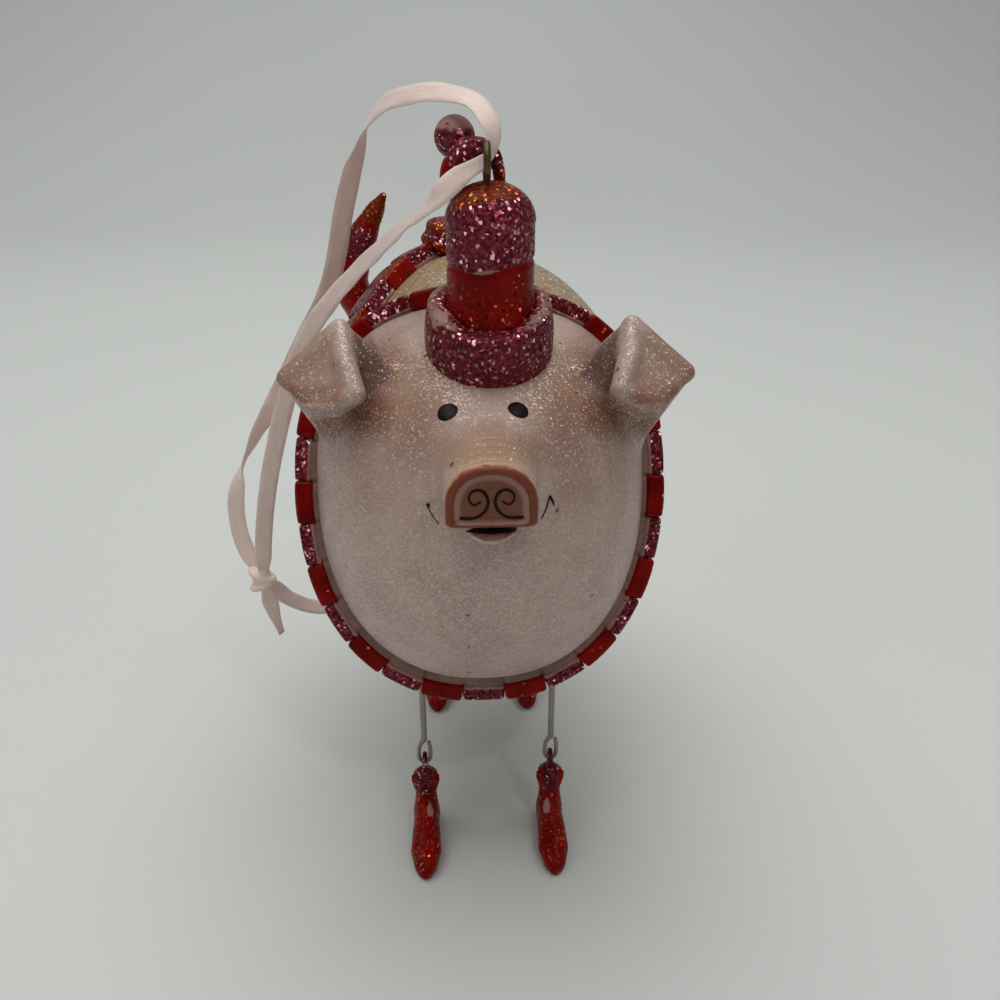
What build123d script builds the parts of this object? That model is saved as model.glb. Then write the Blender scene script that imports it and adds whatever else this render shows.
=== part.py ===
from build123d import *
import math
import os

# A hanging pig ornament that stands on its boots. Millimetres; it faces -Y, up is +Z and the table is Z = 0.

# Rear of the body: an egg about the Y axis with an oval section, hollow inside
RUMP_HALF_WIDTH = 26.3
RUMP_HALF_HEIGHT = 31.85
RUMP_FRONT_REACH = 60.0
RUMP_BACK_REACH = 36.0
RUMP_CENTRE_Y = 10.0
RUMP_CENTRE_Z = 58.85
SHELL_WALL = 2.6

# Collar: the ring of blocks between the two shells, leaning back at its top and sized from the rear shell.
# Its outline is a rounded curve below and a fuller one above, with the fullness as each curve's exponent
COLLAR_CENTRE_Y = -17.1
COLLAR_CENTRE_Z = 62.5
COLLAR_LEAN = 12.0
COLLAR_SIDE_INSET = 0.3
COLLAR_TOP_INSET = 3.15
COLLAR_BOTTOM_DROP = 0.65
COLLAR_HALF_WIDTH = RUMP_HALF_WIDTH - COLLAR_SIDE_INSET
COLLAR_TOP = RUMP_HALF_HEIGHT - COLLAR_TOP_INSET
COLLAR_BOTTOM = RUMP_HALF_HEIGHT + COLLAR_BOTTOM_DROP
COLLAR_FULLNESS = 2.35
LOWER_FULLNESS = 2.25
OUTLINE_STEPS = 32
COLLAR_WIDTH = 5.0
COLLAR_LAND = 7.6
COLLAR_EDGE_RADIUS = 0.9
BLOCK_COUNT = 28
GROOVE_WIDTH = 0.5
GROOVE_DEPTH = 0.8

# Face: a dome set inside the collar, with the same kind of outline, closed by a small flat under the snout
FACE_SIDE_INSET = 2.3
FACE_TOP_INSET = 1.9
FACE_BOTTOM_INSET = 3.6
FACE_HALF_WIDTH = COLLAR_HALF_WIDTH - FACE_SIDE_INSET
FACE_TOP = COLLAR_TOP - FACE_TOP_INSET
FACE_BOTTOM = COLLAR_BOTTOM - FACE_BOTTOM_INSET
HEAD_TOP_Z = COLLAR_CENTRE_Z + FACE_TOP
FACE_FULLNESS = 2.6
FACE_REACH = 29.0
FACE_SET_BACK = 3.0
FACE_RINGS = 9
FACE_LAST_TURN = 80.0

# Snout: a D-shaped front, flared where it meets the face
SNOUT_FRONT_Y = -50.0
SNOUT_CENTRE_Z = 74.4
SNOUT_HALF_WIDTH = 5.3
SNOUT_HALF_HEIGHT = 5.1
SNOUT_CHIN_DROP = 2.5
SNOUT_FLARE = 1.0
SNOUT_DEPTH = 16.0
SNOUT_RIM = 1.1
SNOUT_RECESS = 0.4
LIP_HALF_WIDTH = 3.2
LIP_HALF_DEPTH = 4.6
LIP_HALF_HEIGHT = 1.9
LIP_OVERLAP = 0.7

# Ear: a web that stands on the head and a flap folded forward from it, as corners on the left side,
# measured from the side and the top of the face
EAR_FOOT_INNER = (FACE_HALF_WIDTH - 12.4, -27.5, HEAD_TOP_Z - 8.8)
EAR_FOOT_OUTER = (FACE_HALF_WIDTH - 2.7, -21.5, HEAD_TOP_Z - 19.3)
EAR_TOP = (FACE_HALF_WIDTH - 3.4, -25.0, HEAD_TOP_Z + 1.0)
EAR_TIP = (FACE_HALF_WIDTH + 4.7, -28.0, HEAD_TOP_Z - 4.6)
EAR_FLAP_OUTER = (FACE_HALF_WIDTH + 0.9, -31.0, HEAD_TOP_Z - 10.3)
EAR_FLAP_INNER = (FACE_HALF_WIDTH - 5.7, -32.2, HEAD_TOP_Z - 8.7)
EAR_WEB_THICKNESS = 2.2
EAR_FLAP_THICKNESS = 2.4

# Hat: a cuff on the head, a tall crown through it and a curled point with a bead, measured from the top of
# the face
HAT_BASE = (0.0, -25.4, HEAD_TOP_Z - 3.7)
HAT_LEAN = 18.0
CUFF_RADIUS = 8.1
CUFF_TAPER = 0.5
CUFF_HEIGHT = 7.9
CUFF_SINK = 4.0
CROWN_RADIUS = 5.5
CROWN_TOP_Z = HEAD_TOP_Z + 17.7
CROWN_AXIS = ((-25.0, HEAD_TOP_Z - 5.3), (-27.0, HEAD_TOP_Z + 2.7), (-28.0, HEAD_TOP_Z + 8.7),
              (-28.0, HEAD_TOP_Z + 13.7))
CROWN_DOME_RISES = (0.45, 0.8, 1.0)
CROWN_DOME_RADII = (0.88, 0.58, 0.22)
CURL_ROUTE = ((1.2, -26.6, HEAD_TOP_Z + 15.2), (1.7, -26.4, HEAD_TOP_Z + 18.1),
              (1.2, -25.8, HEAD_TOP_Z + 20.0), (-0.6, -25.0, HEAD_TOP_Z + 20.9),
              (-2.8, -24.7, HEAD_TOP_Z + 20.7), (-4.6, -24.5, HEAD_TOP_Z + 19.3),
              (-5.4, -24.2, HEAD_TOP_Z + 17.3))
CURL_RADII = (1.1, 0.8, 0.9, 1.5, 2.0, 1.9, 1.2)
BALL_RADIUS = 2.45
BALL_CENTRE = (-4.2, -22.1, HEAD_TOP_Z + 22.0)

# Wire eye in the top of the crown
HANGER_Z = HEAD_TOP_Z + 20.0
HANGER_CENTRE = (0.0, -29.0, HANGER_Z)
HANGER_WIRE = 0.9
HANGER_RADIUS = 1.9
HANGER_STEM = 4.0

# Band over the back: a strip of the rump between two planes, ending in a lump, at shares of the rump's
# half sizes
BAND_MIDDLE = (-0.6768 * RUMP_HALF_WIDTH, 2.2, RUMP_CENTRE_Z + 0.8053 * RUMP_HALF_HEIGHT)
BAND_ALONG = (1.0, 1.0, 0.0)
BAND_NORMAL = (-0.543, 0.543, -0.642)
BAND_WIDTH = 5.0
BAND_HEIGHT = 1.9
BAND_LENGTH = 37.0
BAND_DEPTH_SHARE = 0.7027
BAND_DEPTH = BAND_DEPTH_SHARE * BAND_LENGTH
BAND_GROOVES = (-12.0, -4.0, 4.0)
KNOT_CENTRE = (-0.3118 * RUMP_HALF_WIDTH, 18.5, RUMP_CENTRE_Z + 0.9969 * RUMP_HALF_HEIGHT)
KNOT_RADII = (3.6, 4.6, 4.2)

# Tail: a tapering tube from the rump, curled to the right-hand side and up
TAIL_ROUTE = ((0.0, 42.0, 66.0), (-2.5, 46.0, 65.6), (-8.0, 46.9, 66.2), (-15.0, 46.0, 68.2),
              (-20.6, 43.2, 72.0), (-23.3, 39.8, 77.6), (-23.4, 37.4, 84.0), (-21.1, 36.2, 90.0),
              (-17.7, 36.0, 96.6))
TAIL_RADII = (3.3, 3.2, 3.1, 3.1, 3.1, 3.2, 3.0, 2.3, 0.5)

# Legs: staples in the belly, wire legs and boots on wire eyes
FRONT_LEG_X = 10.4
FRONT_LEG_Y = -18.6
REAR_LEG_X = 9.0
REAR_LEG_Y = 25.1
WIRE = 1.0
STAPLE_DROP = 3.2
STAPLE_INSET = 2.2
STAPLE_GAP = 2.5
LOOP_CLEARANCE = 0.35
ANKLE_Z = 13.5
STIRRUP_HEIGHT = 3.3
STIRRUP_WIRE = 0.8
BOOT_EYE_WIRE = 0.8
BOOT_EYE_STEM = 3.5

# Boot: a shaft on a pointed foot with a flat sole
SHAFT_TOP_Z = 12.0
SHAFT_RINGS = ((3.0, 1.9), (8.2, 1.75), (9.6, 1.95), (10.9, 2.0))
SHAFT_TOP_RADIUS = 0.9
FOOT_RINGS = ((2.3, 2.2, 1.0, 1.5), (1.2, 2.4, 1.9, 2.8), (-1.5, 2.8, 2.05, 3.2), (-5.0, 2.3, 2.3, 2.7),
              (-8.5, 1.8, 2.45, 2.2), (-11.5, 1.3, 1.7, 1.7), (-13.1, 0.9, 0.6, 0.7))

# Ribbon: two strands from the wire eye to a knot at the pig's right side, with two cut ends
SIDE_X = -RUMP_HALF_WIDTH
RIBBON_THICKNESS = 2.0
RIBBON_BEND_SHARE = 0.45
FRONT_ROUTE = (HANGER_CENTRE, (-3.0, -29.2, HANGER_Z - 1.1), (-7.1, -29.4, HANGER_Z - 5.3),
               (-11.8, -18.5, HANGER_Z - 10.1), (SIDE_X + 6.3, -9.2, HANGER_Z - 18.8),
               (SIDE_X - 0.1, -5.4, 82.4), (SIDE_X - 4.3, -3.0, 71.5), (SIDE_X - 9.1, 0.0, 57.5),
               (SIDE_X - 12.3, 2.6, 45.0), (SIDE_X - 13.4, 3.8, 36.0))
ARCH_ROUTE = (HANGER_CENTRE, (2.9, -28.8, HANGER_Z + 1.1), (3.0, -27.5, HANGER_Z + 4.4),
              (0.2, -25.2, HANGER_Z + 6.9), (-5.8, -21.0, HANGER_Z + 7.8), (-12.9, -15.2, HANGER_Z + 4.7),
              (-18.2, -8.6, HANGER_Z - 1.7), (SIDE_X + 4.5, -3.2, HANGER_Z - 10.3),
              (SIDE_X + 2.9, 0.0, HANGER_Z - 18.9), (SIDE_X - 1.3, 2.0, 80.6), (SIDE_X - 7.7, 4.2, 69.0),
              (SIDE_X - 14.5, 6.0, 59.0), (SIDE_X - 18.5, 6.8, 50.0), (SIDE_X - 17.7, 6.2, 41.8),
              (SIDE_X - 13.9, 4.4, 36.2))
SHORT_END_ROUTE = ((SIDE_X - 13.7, 4.0, 34.2), (SIDE_X - 12.9, 4.3, 30.4), (SIDE_X - 11.7, 4.4, 26.0))
LONG_END_ROUTE = ((SIDE_X - 12.9, 5.0, 36.0), (SIDE_X - 9.6, 8.6, 30.8), (SIDE_X - 4.7, 14.0, 25.4),
                  (SIDE_X + 1.7, 20.0, 22.4))
RIBBON_KNOT_CENTRE = (SIDE_X - 13.6, 4.1, 35.8)
RIBBON_KNOT_RADII = (2.0, 1.8, 2.8)

HEAD = Location((0, COLLAR_CENTRE_Y, COLLAR_CENTRE_Z), (-COLLAR_LEAN, 0, 0))
LARGE = 200.0
RING_START = (1.0, 0.3, 0.2)


def egg(half_width, half_height, front, back):
    """A solid of revolution about Y made of two half ellipses, drawn out to an oval section."""
    front_arc = EllipticalCenterArc((0, 0), half_width, front, 270, arc_size=90)
    back_arc = EllipticalCenterArc((0, 0), half_width, back, 0, arc_size=90)
    axis = Line((0, back), (0, -front))
    solid = revolve(make_face([front_arc, back_arc, axis]), Axis.Y)
    return scale(solid, (1, 1, half_height / half_width))


def rump_egg(shrink=0.0):
    """The rear body's outline, larger or smaller by a constant."""
    solid = egg(RUMP_HALF_WIDTH - shrink, RUMP_HALF_HEIGHT - shrink, RUMP_FRONT_REACH - shrink,
                RUMP_BACK_REACH - shrink)
    return Pos(0, RUMP_CENTRE_Y, RUMP_CENTRE_Z) * solid


def belly_height(x, y):
    """Height of the rump's underside above the table."""
    reach = RUMP_FRONT_REACH if y < RUMP_CENTRE_Y else RUMP_BACK_REACH
    share = 1 - (x / RUMP_HALF_WIDTH) ** 2 - ((y - RUMP_CENTRE_Y) / reach) ** 2
    return RUMP_CENTRE_Z - RUMP_HALF_HEIGHT * math.sqrt(share)


def outline_point(angle, half_width, top, bottom, fullness):
    """A point of the collar's or face's outline, and the direction that faces outwards there in degrees."""
    above = angle < math.pi
    exponent = fullness if above else LOWER_FULLNESS
    half_height = top if above else bottom
    across = math.cos(angle)
    up = math.sin(angle)
    x = math.copysign(abs(across) ** (2 / exponent), across)
    z = math.copysign(abs(up) ** (2 / exponent), up)
    slope_x = math.copysign(abs(x) ** (exponent - 1), x) / half_width
    slope_z = math.copysign(abs(z) ** (exponent - 1), z) / half_height
    return half_width * x, half_height * z, math.degrees(math.atan2(slope_z, slope_x))


def outline_face(half_width, top, bottom, fullness):
    """The outline as a face."""
    points = []
    for step in range(OUTLINE_STEPS):
        x, z, outward = outline_point(2 * math.pi * step / OUTLINE_STEPS, half_width, top, bottom, fullness)
        points.append((x, z))
    return make_face(Spline(points, periodic=True))


def face_dome(shrink=0.0):
    """The dome of the face, from its widest ring to its front, in the collar's frame."""
    rings = []
    for step in range(FACE_RINGS):
        turn = math.radians(FACE_LAST_TURN * step / (FACE_RINGS - 1))
        share = math.cos(turn)
        plane = Plane.XZ.offset((FACE_REACH - shrink) * math.sin(turn) - FACE_SET_BACK)
        rings.append(plane * outline_face((FACE_HALF_WIDTH - shrink) * share, (FACE_TOP - shrink) * share,
                                          (FACE_BOTTOM - shrink) * share, FACE_FULLNESS))
    return loft(rings, ruled=True)


def before_collar(offset):
    """A half space on the collar's front side, in the collar's frame."""
    return Pos(0, offset - LARGE / 2, 0) * Box(LARGE, LARGE, LARGE)


def tube(points, radii):
    """A tapering tube through rings that follow a route."""
    points = [Vector(*p) for p in points]
    rings = []
    across = Vector(*RING_START)
    for i, point in enumerate(points):
        ahead = points[min(i + 1, len(points) - 1)] - points[max(i - 1, 0)]
        ahead = ahead.normalized()
        across = (across - ahead * across.dot(ahead)).normalized()
        rings.append(Plane(origin=point, x_dir=across, z_dir=ahead) * Circle(radii[i]))
    return loft(rings, ruled=True)


def ellipsoid(centre, radii):
    """A ball drawn out along the three axes."""
    return Pos(*centre) * scale(Sphere(1), radii)


def mirrored(corner):
    """The same corner on the other side of the pig."""
    return (-corner[0], corner[1], corner[2])


def plate(corners, thickness):
    """A flat plate over three or four corners, grown equally to both sides."""
    first, second, third = [Vector(*c) for c in corners[:3]]
    plane = Plane(origin=first, x_dir=second - first, z_dir=(second - first).cross(third - first))
    flat = [plane.to_local_coords(Vector(*c)) for c in corners]
    outline = Polyline(*[(p.X, p.Y) for p in flat], close=True)
    return extrude(plane * make_face(outline), thickness / 2, both=True)


def wire_ring(centre, radius, wire):
    """A closed ring of wire in the YZ plane."""
    return Pos(*centre) * Rot(0, 90, 0) * Torus(radius, wire / 2)


def rod(start, end, diameter):
    """A straight round rod between two points."""
    start = Vector(*start)
    end = Vector(*end)
    plane = Plane(origin=start, z_dir=end - start)
    return extrude(plane * Circle(diameter / 2), (end - start).length)


def ribbon(name, route):
    """One stretch of ribbon as a tube with bends as round as its runs allow."""
    points = [Vector(*p) for p in route]
    radii = []
    for before, here, after in zip(points, points[1:], points[2:]):
        turn = math.radians((here - before).get_angle(after - here))
        shorter = min((here - before).length, (after - here).length)
        radii.append(RIBBON_BEND_SHARE * shorter / math.tan(turn / 2))
    path = FilletPolyline(*points, radius=radii)
    start = Plane(origin=path @ 0, z_dir=path % 0)
    solid = sweep(start * Circle(RIBBON_THICKNESS / 2), path)
    expected = math.pi * RIBBON_THICKNESS ** 2 / 4 * path.length
    print(name, "radii", [round(r, 1) for r in radii], "length", round(path.length, 1),
          "volume share", round(solid.volume / expected, 4))
    return solid


def collar_outline(shrink=0.0):
    """The collar's outline as a face, smaller by a constant."""
    return Plane.XZ * outline_face(COLLAR_HALF_WIDTH - shrink, COLLAR_TOP - shrink, COLLAR_BOTTOM - shrink,
                                   COLLAR_FULLNESS)


def collar_disc():
    """The collar filled in, without its rounded edges and grooves."""
    return extrude(collar_outline(), COLLAR_WIDTH / 2, both=True)


def collar_ring():
    """The collar with its blocks parted by grooves, in its own frame."""
    disc = collar_disc()
    ring = fillet(disc.edges(), COLLAR_EDGE_RADIUS)
    ring -= extrude(collar_outline(COLLAR_LAND), COLLAR_WIDTH, both=True)
    slot = Box(2 * GROOVE_DEPTH, 2 * COLLAR_WIDTH, GROOVE_WIDTH)
    slots = []
    for i in range(BLOCK_COUNT):
        angle = 2 * math.pi * (i + 0.5) / BLOCK_COUNT
        x, z, outward = outline_point(angle, COLLAR_HALF_WIDTH, COLLAR_TOP, COLLAR_BOTTOM, COLLAR_FULLNESS)
        slots.append(Pos(x, 0, z) * Rot(0, -outward, 0) * slot)
    return ring - slots


def back_band(rump):
    """The block band over the back, with grooves between its blocks."""
    plane = Plane(origin=BAND_MIDDLE, x_dir=BAND_ALONG, z_dir=BAND_NORMAL)
    band = (rump_egg(-BAND_HEIGHT) - rump) & plane * Box(BAND_LENGTH, BAND_DEPTH, BAND_WIDTH)
    lowered = rump_egg(GROOVE_DEPTH - BAND_HEIGHT)
    for offset in BAND_GROOVES:
        band -= plane * Pos(offset, 0, 0) * Box(GROOVE_WIDTH, LARGE, LARGE) - lowered
    return band


def snout_outline(grow):
    """The D shape of the snout's front, grown by a constant, about its middle."""
    half_width = SNOUT_HALF_WIDTH + grow
    half_height = SNOUT_HALF_HEIGHT + grow
    floor = -SNOUT_CHIN_DROP - grow
    return Ellipse(half_width, half_height) & Pos(0, floor + LARGE / 2) * Rectangle(LARGE, LARGE)


def snout_solid(head):
    """The snout with its recessed front and the lower lip under it."""
    front = Plane(origin=(0, SNOUT_FRONT_Y, SNOUT_CENTRE_Z), x_dir=(1, 0, 0), z_dir=(0, -1, 0))
    rings = [front * snout_outline(0), front.offset(-SNOUT_DEPTH) * snout_outline(SNOUT_FLARE)]
    solid = loft(rings, ruled=True)
    lip_z = SNOUT_CENTRE_Z - SNOUT_CHIN_DROP - LIP_HALF_HEIGHT + LIP_OVERLAP
    lip_y = SNOUT_FRONT_Y + LIP_HALF_DEPTH
    solid += ellipsoid((0, lip_y, lip_z), (LIP_HALF_WIDTH, LIP_HALF_DEPTH, LIP_HALF_HEIGHT))
    solid -= extrude(front * snout_outline(-SNOUT_RIM), -SNOUT_RECESS)
    return solid - head


def ear(head, place):
    """A folded ear: the web on the head and the flap that hangs forward from its top."""
    web = plate([place(EAR_FOOT_INNER), place(EAR_FOOT_OUTER), place(EAR_TIP), place(EAR_TOP)],
                EAR_WEB_THICKNESS)
    flap = plate([place(EAR_TOP), place(EAR_TIP), place(EAR_FLAP_OUTER), place(EAR_FLAP_INNER)],
                 EAR_FLAP_THICKNESS)
    return web + flap - head


def crown_solid():
    """The crown: rings up a bent axis, closed by a dome."""
    points = [(0, y, z) for y, z in CROWN_AXIS]
    radii = [CROWN_RADIUS] * len(points)
    shoulder_y, shoulder_z = CROWN_AXIS[-1]
    for rise, share in zip(CROWN_DOME_RISES, CROWN_DOME_RADII):
        points.append((0, shoulder_y, shoulder_z + rise * (CROWN_TOP_Z - shoulder_z)))
        radii.append(CROWN_RADIUS * share)
    return tube(points, radii)


def cuff_solid():
    """The cuff: a leaning cone frustum round the foot of the crown."""
    base = Pos(*HAT_BASE) * Rot(HAT_LEAN, 0, 0)
    middle = (CUFF_HEIGHT - CUFF_SINK) / 2
    return base * Pos(0, 0, middle) * Cone(CUFF_RADIUS, CUFF_RADIUS - CUFF_TAPER, CUFF_HEIGHT + CUFF_SINK)


def hanger_solid():
    """The wire eye on its stem."""
    x, y, z = HANGER_CENTRE
    ring = wire_ring(HANGER_CENTRE, HANGER_RADIUS, HANGER_WIRE)
    foot = z - HANGER_RADIUS
    return ring + rod((x, y, foot), (x, y, foot - HANGER_STEM), HANGER_WIRE)


def staple(x, y):
    """A wire staple in the belly with a straight bar across, and the height of that bar."""
    bar_z = belly_height(x, y) - STAPLE_DROP
    half = (STAPLE_GAP + WIRE) / 2
    solid = rod((x - half, y, bar_z), (x + half, y, bar_z), WIRE)
    for side in (-half, half):
        top_z = belly_height(x + side, y) + STAPLE_INSET
        solid += Pos(x + side, y, bar_z) * Sphere(WIRE / 2)
        solid += rod((x + side, y, bar_z), (x + side, y, top_z), WIRE)
    return solid, bar_z


def leg_wire(x, y, hip_z):
    """A wire leg: a ring round the belly staple's bar, a shank and a stirrup with a straight bar."""
    ring_radius = WIRE + LOOP_CLEARANCE
    stirrup_top = ANKLE_Z + STIRRUP_HEIGHT
    half = BOOT_EYE_WIRE / 2 + LOOP_CLEARANCE + STIRRUP_WIRE / 2
    solid = wire_ring((x, y, hip_z), ring_radius, WIRE)
    solid += rod((x, y, hip_z - ring_radius), (x, y, stirrup_top), WIRE)
    for height in (ANKLE_Z, stirrup_top):
        solid += rod((x - half, y, height), (x + half, y, height), STIRRUP_WIRE)
    for side in (x - half, x + half):
        solid += rod((side, y, ANKLE_Z), (side, y, stirrup_top), STIRRUP_WIRE)
        for height in (ANKLE_Z, stirrup_top):
            solid += Pos(side, y, height) * Sphere(STIRRUP_WIRE / 2)
    return solid


def boot_eye(x, y):
    """The wire eye that holds a boot to its leg."""
    radius = (STIRRUP_WIRE + BOOT_EYE_WIRE) / 2 + LOOP_CLEARANCE
    ring = wire_ring((x, y, ANKLE_Z), radius, BOOT_EYE_WIRE)
    foot = ANKLE_Z - radius
    return ring + rod((x, y, foot), (x, y, foot - BOOT_EYE_STEM), BOOT_EYE_WIRE)


def boot(x, y):
    """A boot: a shaft with a narrow top on a pointed foot, cut flat at the table."""
    rings = list(SHAFT_RINGS) + [(SHAFT_TOP_Z, SHAFT_TOP_RADIUS)]
    shaft = loft([Plane.XY.offset(z) * Circle(radius) for z, radius in rings], ruled=True)
    sections = []
    for ahead, height, half_width, half_height in FOOT_RINGS:
        section = Plane(origin=(0, ahead, height), x_dir=(1, 0, 0), z_dir=(0, -1, 0))
        sections.append(section * Ellipse(half_width, half_height))
    solid = shaft + loft(sections, ruled=True)
    solid &= Pos(0, 0, LARGE / 2) * Box(LARGE, LARGE, LARGE)
    return Pos(x, y, 0) * solid


def body_nodes():
    """The cast body, hat, tail and wire eye that stay fixed to each other."""
    collar_half = COLLAR_WIDTH / 2
    collar_side = HEAD * before_collar(collar_half)
    head = HEAD * (face_dome() & before_collar(-collar_half))
    seat = head + HEAD * collar_disc()
    crown = crown_solid()
    curl = tube(CURL_ROUTE, CURL_RADII)
    knot = ellipsoid(KNOT_CENTRE, KNOT_RADII)
    nodes = {}
    nodes["face_shell"] = head - HEAD * face_dome(SHELL_WALL)
    nodes["collar"] = HEAD * collar_ring()
    nodes["rump_shell"] = rump_egg() - rump_egg(SHELL_WALL) - collar_side
    nodes["back_band"] = back_band(rump_egg()) - collar_side - knot
    nodes["band_knot"] = knot - rump_egg()
    nodes["snout"] = snout_solid(head)
    nodes["ear_left"] = ear(head, lambda corner: corner)
    nodes["ear_right"] = ear(head, mirrored)
    nodes["hanger_eye"] = hanger_solid()
    nodes["hat_curl"] = curl - nodes["hanger_eye"]
    nodes["hat_ball"] = Pos(*BALL_CENTRE) * Sphere(BALL_RADIUS) - curl
    nodes["hat_crown"] = crown - seat - curl - nodes["hanger_eye"]
    nodes["hat_cuff"] = cuff_solid() - crown - seat
    nodes["tail"] = tube(TAIL_ROUTE, TAIL_RADII) - rump_egg()
    return nodes


def leg_nodes(nodes):
    """The four legs: staples, wires, boot eyes and boots, from the pig's own left and right."""
    places = {"front_left": (FRONT_LEG_X, FRONT_LEG_Y), "front_right": (-FRONT_LEG_X, FRONT_LEG_Y),
              "rear_left": (REAR_LEG_X, REAR_LEG_Y), "rear_right": (-REAR_LEG_X, REAR_LEG_Y)}
    for name, (x, y) in places.items():
        eye, hip_z = staple(x, y)
        nodes["rump_shell"] -= eye
        nodes["belly_eye_" + name] = eye
        nodes["leg_wire_" + name] = leg_wire(x, y, hip_z)
        nodes["boot_eye_" + name] = boot_eye(x, y)
        nodes["boot_" + name] = boot(x, y) - boot_eye(x, y)
        print(name, "hip axis", round(x, 3), round(y, 3), round(hip_z, 3), "ankle", ANKLE_Z)


def ribbon_nodes(nodes):
    """The ribbon's stretches, each cut where it goes into the knot."""
    knot = ellipsoid(RIBBON_KNOT_CENTRE, RIBBON_KNOT_RADII)
    front = ribbon("front strand", FRONT_ROUTE)
    arch = ribbon("arch strand", ARCH_ROUTE)
    nodes["ribbon_knot"] = knot
    nodes["ribbon_front_strand"] = front - knot
    nodes["ribbon_arch_strand"] = arch - knot
    nodes["ribbon_short_end"] = ribbon("short end", SHORT_END_ROUTE) - knot
    nodes["ribbon_long_end"] = ribbon("long end", LONG_END_ROUTE) - knot


def main():
    nodes = body_nodes()
    leg_nodes(nodes)
    ribbon_nodes(nodes)
    os.makedirs("parts", exist_ok=True)
    for name, solid in nodes.items():
        export_step(solid, os.path.join("parts", name + ".step"))


main()
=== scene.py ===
import math

import bmesh
import bpy
import numpy as np
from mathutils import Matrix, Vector


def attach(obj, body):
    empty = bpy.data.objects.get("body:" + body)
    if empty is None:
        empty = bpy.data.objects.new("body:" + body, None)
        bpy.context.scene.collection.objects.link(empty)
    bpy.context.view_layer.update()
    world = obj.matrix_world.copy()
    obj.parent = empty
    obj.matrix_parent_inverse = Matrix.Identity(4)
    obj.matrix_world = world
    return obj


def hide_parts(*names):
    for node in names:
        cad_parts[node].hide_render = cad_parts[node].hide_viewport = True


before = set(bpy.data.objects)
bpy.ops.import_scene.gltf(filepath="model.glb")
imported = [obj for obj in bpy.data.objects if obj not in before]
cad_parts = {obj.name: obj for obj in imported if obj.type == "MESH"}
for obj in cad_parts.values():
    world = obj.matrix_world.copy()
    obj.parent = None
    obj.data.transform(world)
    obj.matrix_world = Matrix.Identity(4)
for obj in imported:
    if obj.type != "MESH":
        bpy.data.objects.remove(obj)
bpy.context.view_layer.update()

bl_info = {
    "name": "Pig ornament dressing",
    "version": (1, 0, 0),
    "blender": (4, 5, 0),
    "location": "View3D > Sidebar > Ornament",
    "description": "Dresses the packed pig ornament with its cast, glittered, wire and satin pieces",
    "category": "Object",
}

MM = 0.001
BODY = "pig_body"
CORNERS = ("front_left", "front_right", "rear_left", "rear_right")

# Places and sizes in millimetres: those of the part's source, moved a little to follow the photograph
RUMP_CENTRE = np.array((0.0, 10.0, 58.85))
RUMP_HALF = np.array((26.3, 36.0, 31.85))
RUMP_FRONT_REACH = 60.0
COLLAR_CENTRE = np.array((-0.75, -17.1, 62.5))
COLLAR_LEAN = math.radians(12.0)
COLLAR_SIDE, COLLAR_TOP, COLLAR_BOTTOM, COLLAR_FULLNESS = 26.4, 28.7, 32.5, 2.35
LOWER_FULLNESS = 2.25
BAND_CURVE, BLOCK_EDGE = 29.0, 0.42
COLLAR_FIRST_BLOCK, COLLAR_BLOCK_INSET = -90.0, 1.15
FACE_SIDE, FACE_TOP, FACE_BOTTOM, FACE_FULLNESS = 23.8, 26.8, 28.9, 2.6
FACE_REACH, FACE_SET_BACK = 29.0, 3.0
SNOUT_FRONT, SNOUT_Z, SNOUT_SIDE, SNOUT_RISE, SNOUT_CHIN = -50.0, 74.4, 5.3, 5.1, 2.5
EAR_FOOT_INNER = np.array((9.5, -27.5, 80.5))
EAR_FOOT_OUTER = np.array((20.2, -22.4, 71.0))
EAR_TOP = np.array((18.5, -25.0, 89.4))
EAR_TIP = np.array((26.3, -28.0, 83.0))
EAR_FLAP_OUTER = np.array((21.8, -31.0, 79.2))
EAR_FLAP_INNER = np.array((16.0, -32.2, 81.8))
HAT_BASE = np.array((0.3, -25.4, 85.6))
HAT_LEAN = math.radians(18.0)
CUFF_RADIUS, CUFF_TAPER, CUFF_HEIGHT, CUFF_SINK = 8.1, 0.5, 7.9, 4.0
CROWN_RADIUS, CROWN_TOP, CROWN_SHIFT = 5.5, 107.0, 0.45
CROWN_AXIS = np.array(((-25.0, 84.0), (-27.0, 92.0), (-28.0, 98.0), (-28.0, 103.0)))
CURL_ROUTE = np.array(((1.2, -26.6, 104.5), (1.6, -26.4, 107.2), (1.1, -25.8, 109.0), (-0.3, -25.0, 109.8),
                       (-1.9, -24.8, 109.6), (-3.4, -24.6, 108.0), (-4.4, -24.4, 105.8)))
CURL_RADII = np.array((1.1, 0.7, 0.8, 1.6, 2.2, 1.9, 1.3))
BALL_CENTRE, BALL_RADIUS = np.array((-3.65, -22.1, 111.35)), 2.5
BAND_MIDDLE = np.array((-17.8, 2.2, 84.5))
BAND_ALONG = np.array((1.0, 1.0, 0.0)) / math.sqrt(2.0)
BAND_NORMAL = np.array((-0.543, 0.543, -0.642))
BAND_LENGTH, BAND_WIDTH = 37.0, 5.0
KNOT_CENTRE, KNOT_RADII = np.array((-5.6, 18.5, 91.4)), np.array((3.6, 4.6, 4.2))
TAIL_ROUTE = np.array(((0.0, 42.0, 66.0), (-2.5, 46.0, 65.6), (-8.0, 46.9, 66.2), (-15.0, 46.0, 68.2),
                       (-20.6, 43.2, 72.0), (-23.0, 39.8, 77.6), (-22.8, 37.4, 84.0), (-20.1, 36.2, 90.0),
                       (-16.5, 36.0, 96.2)))
TAIL_RADII = np.array((3.3, 3.2, 3.1, 3.1, 3.1, 3.2, 3.1, 2.5, 0.8))
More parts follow.
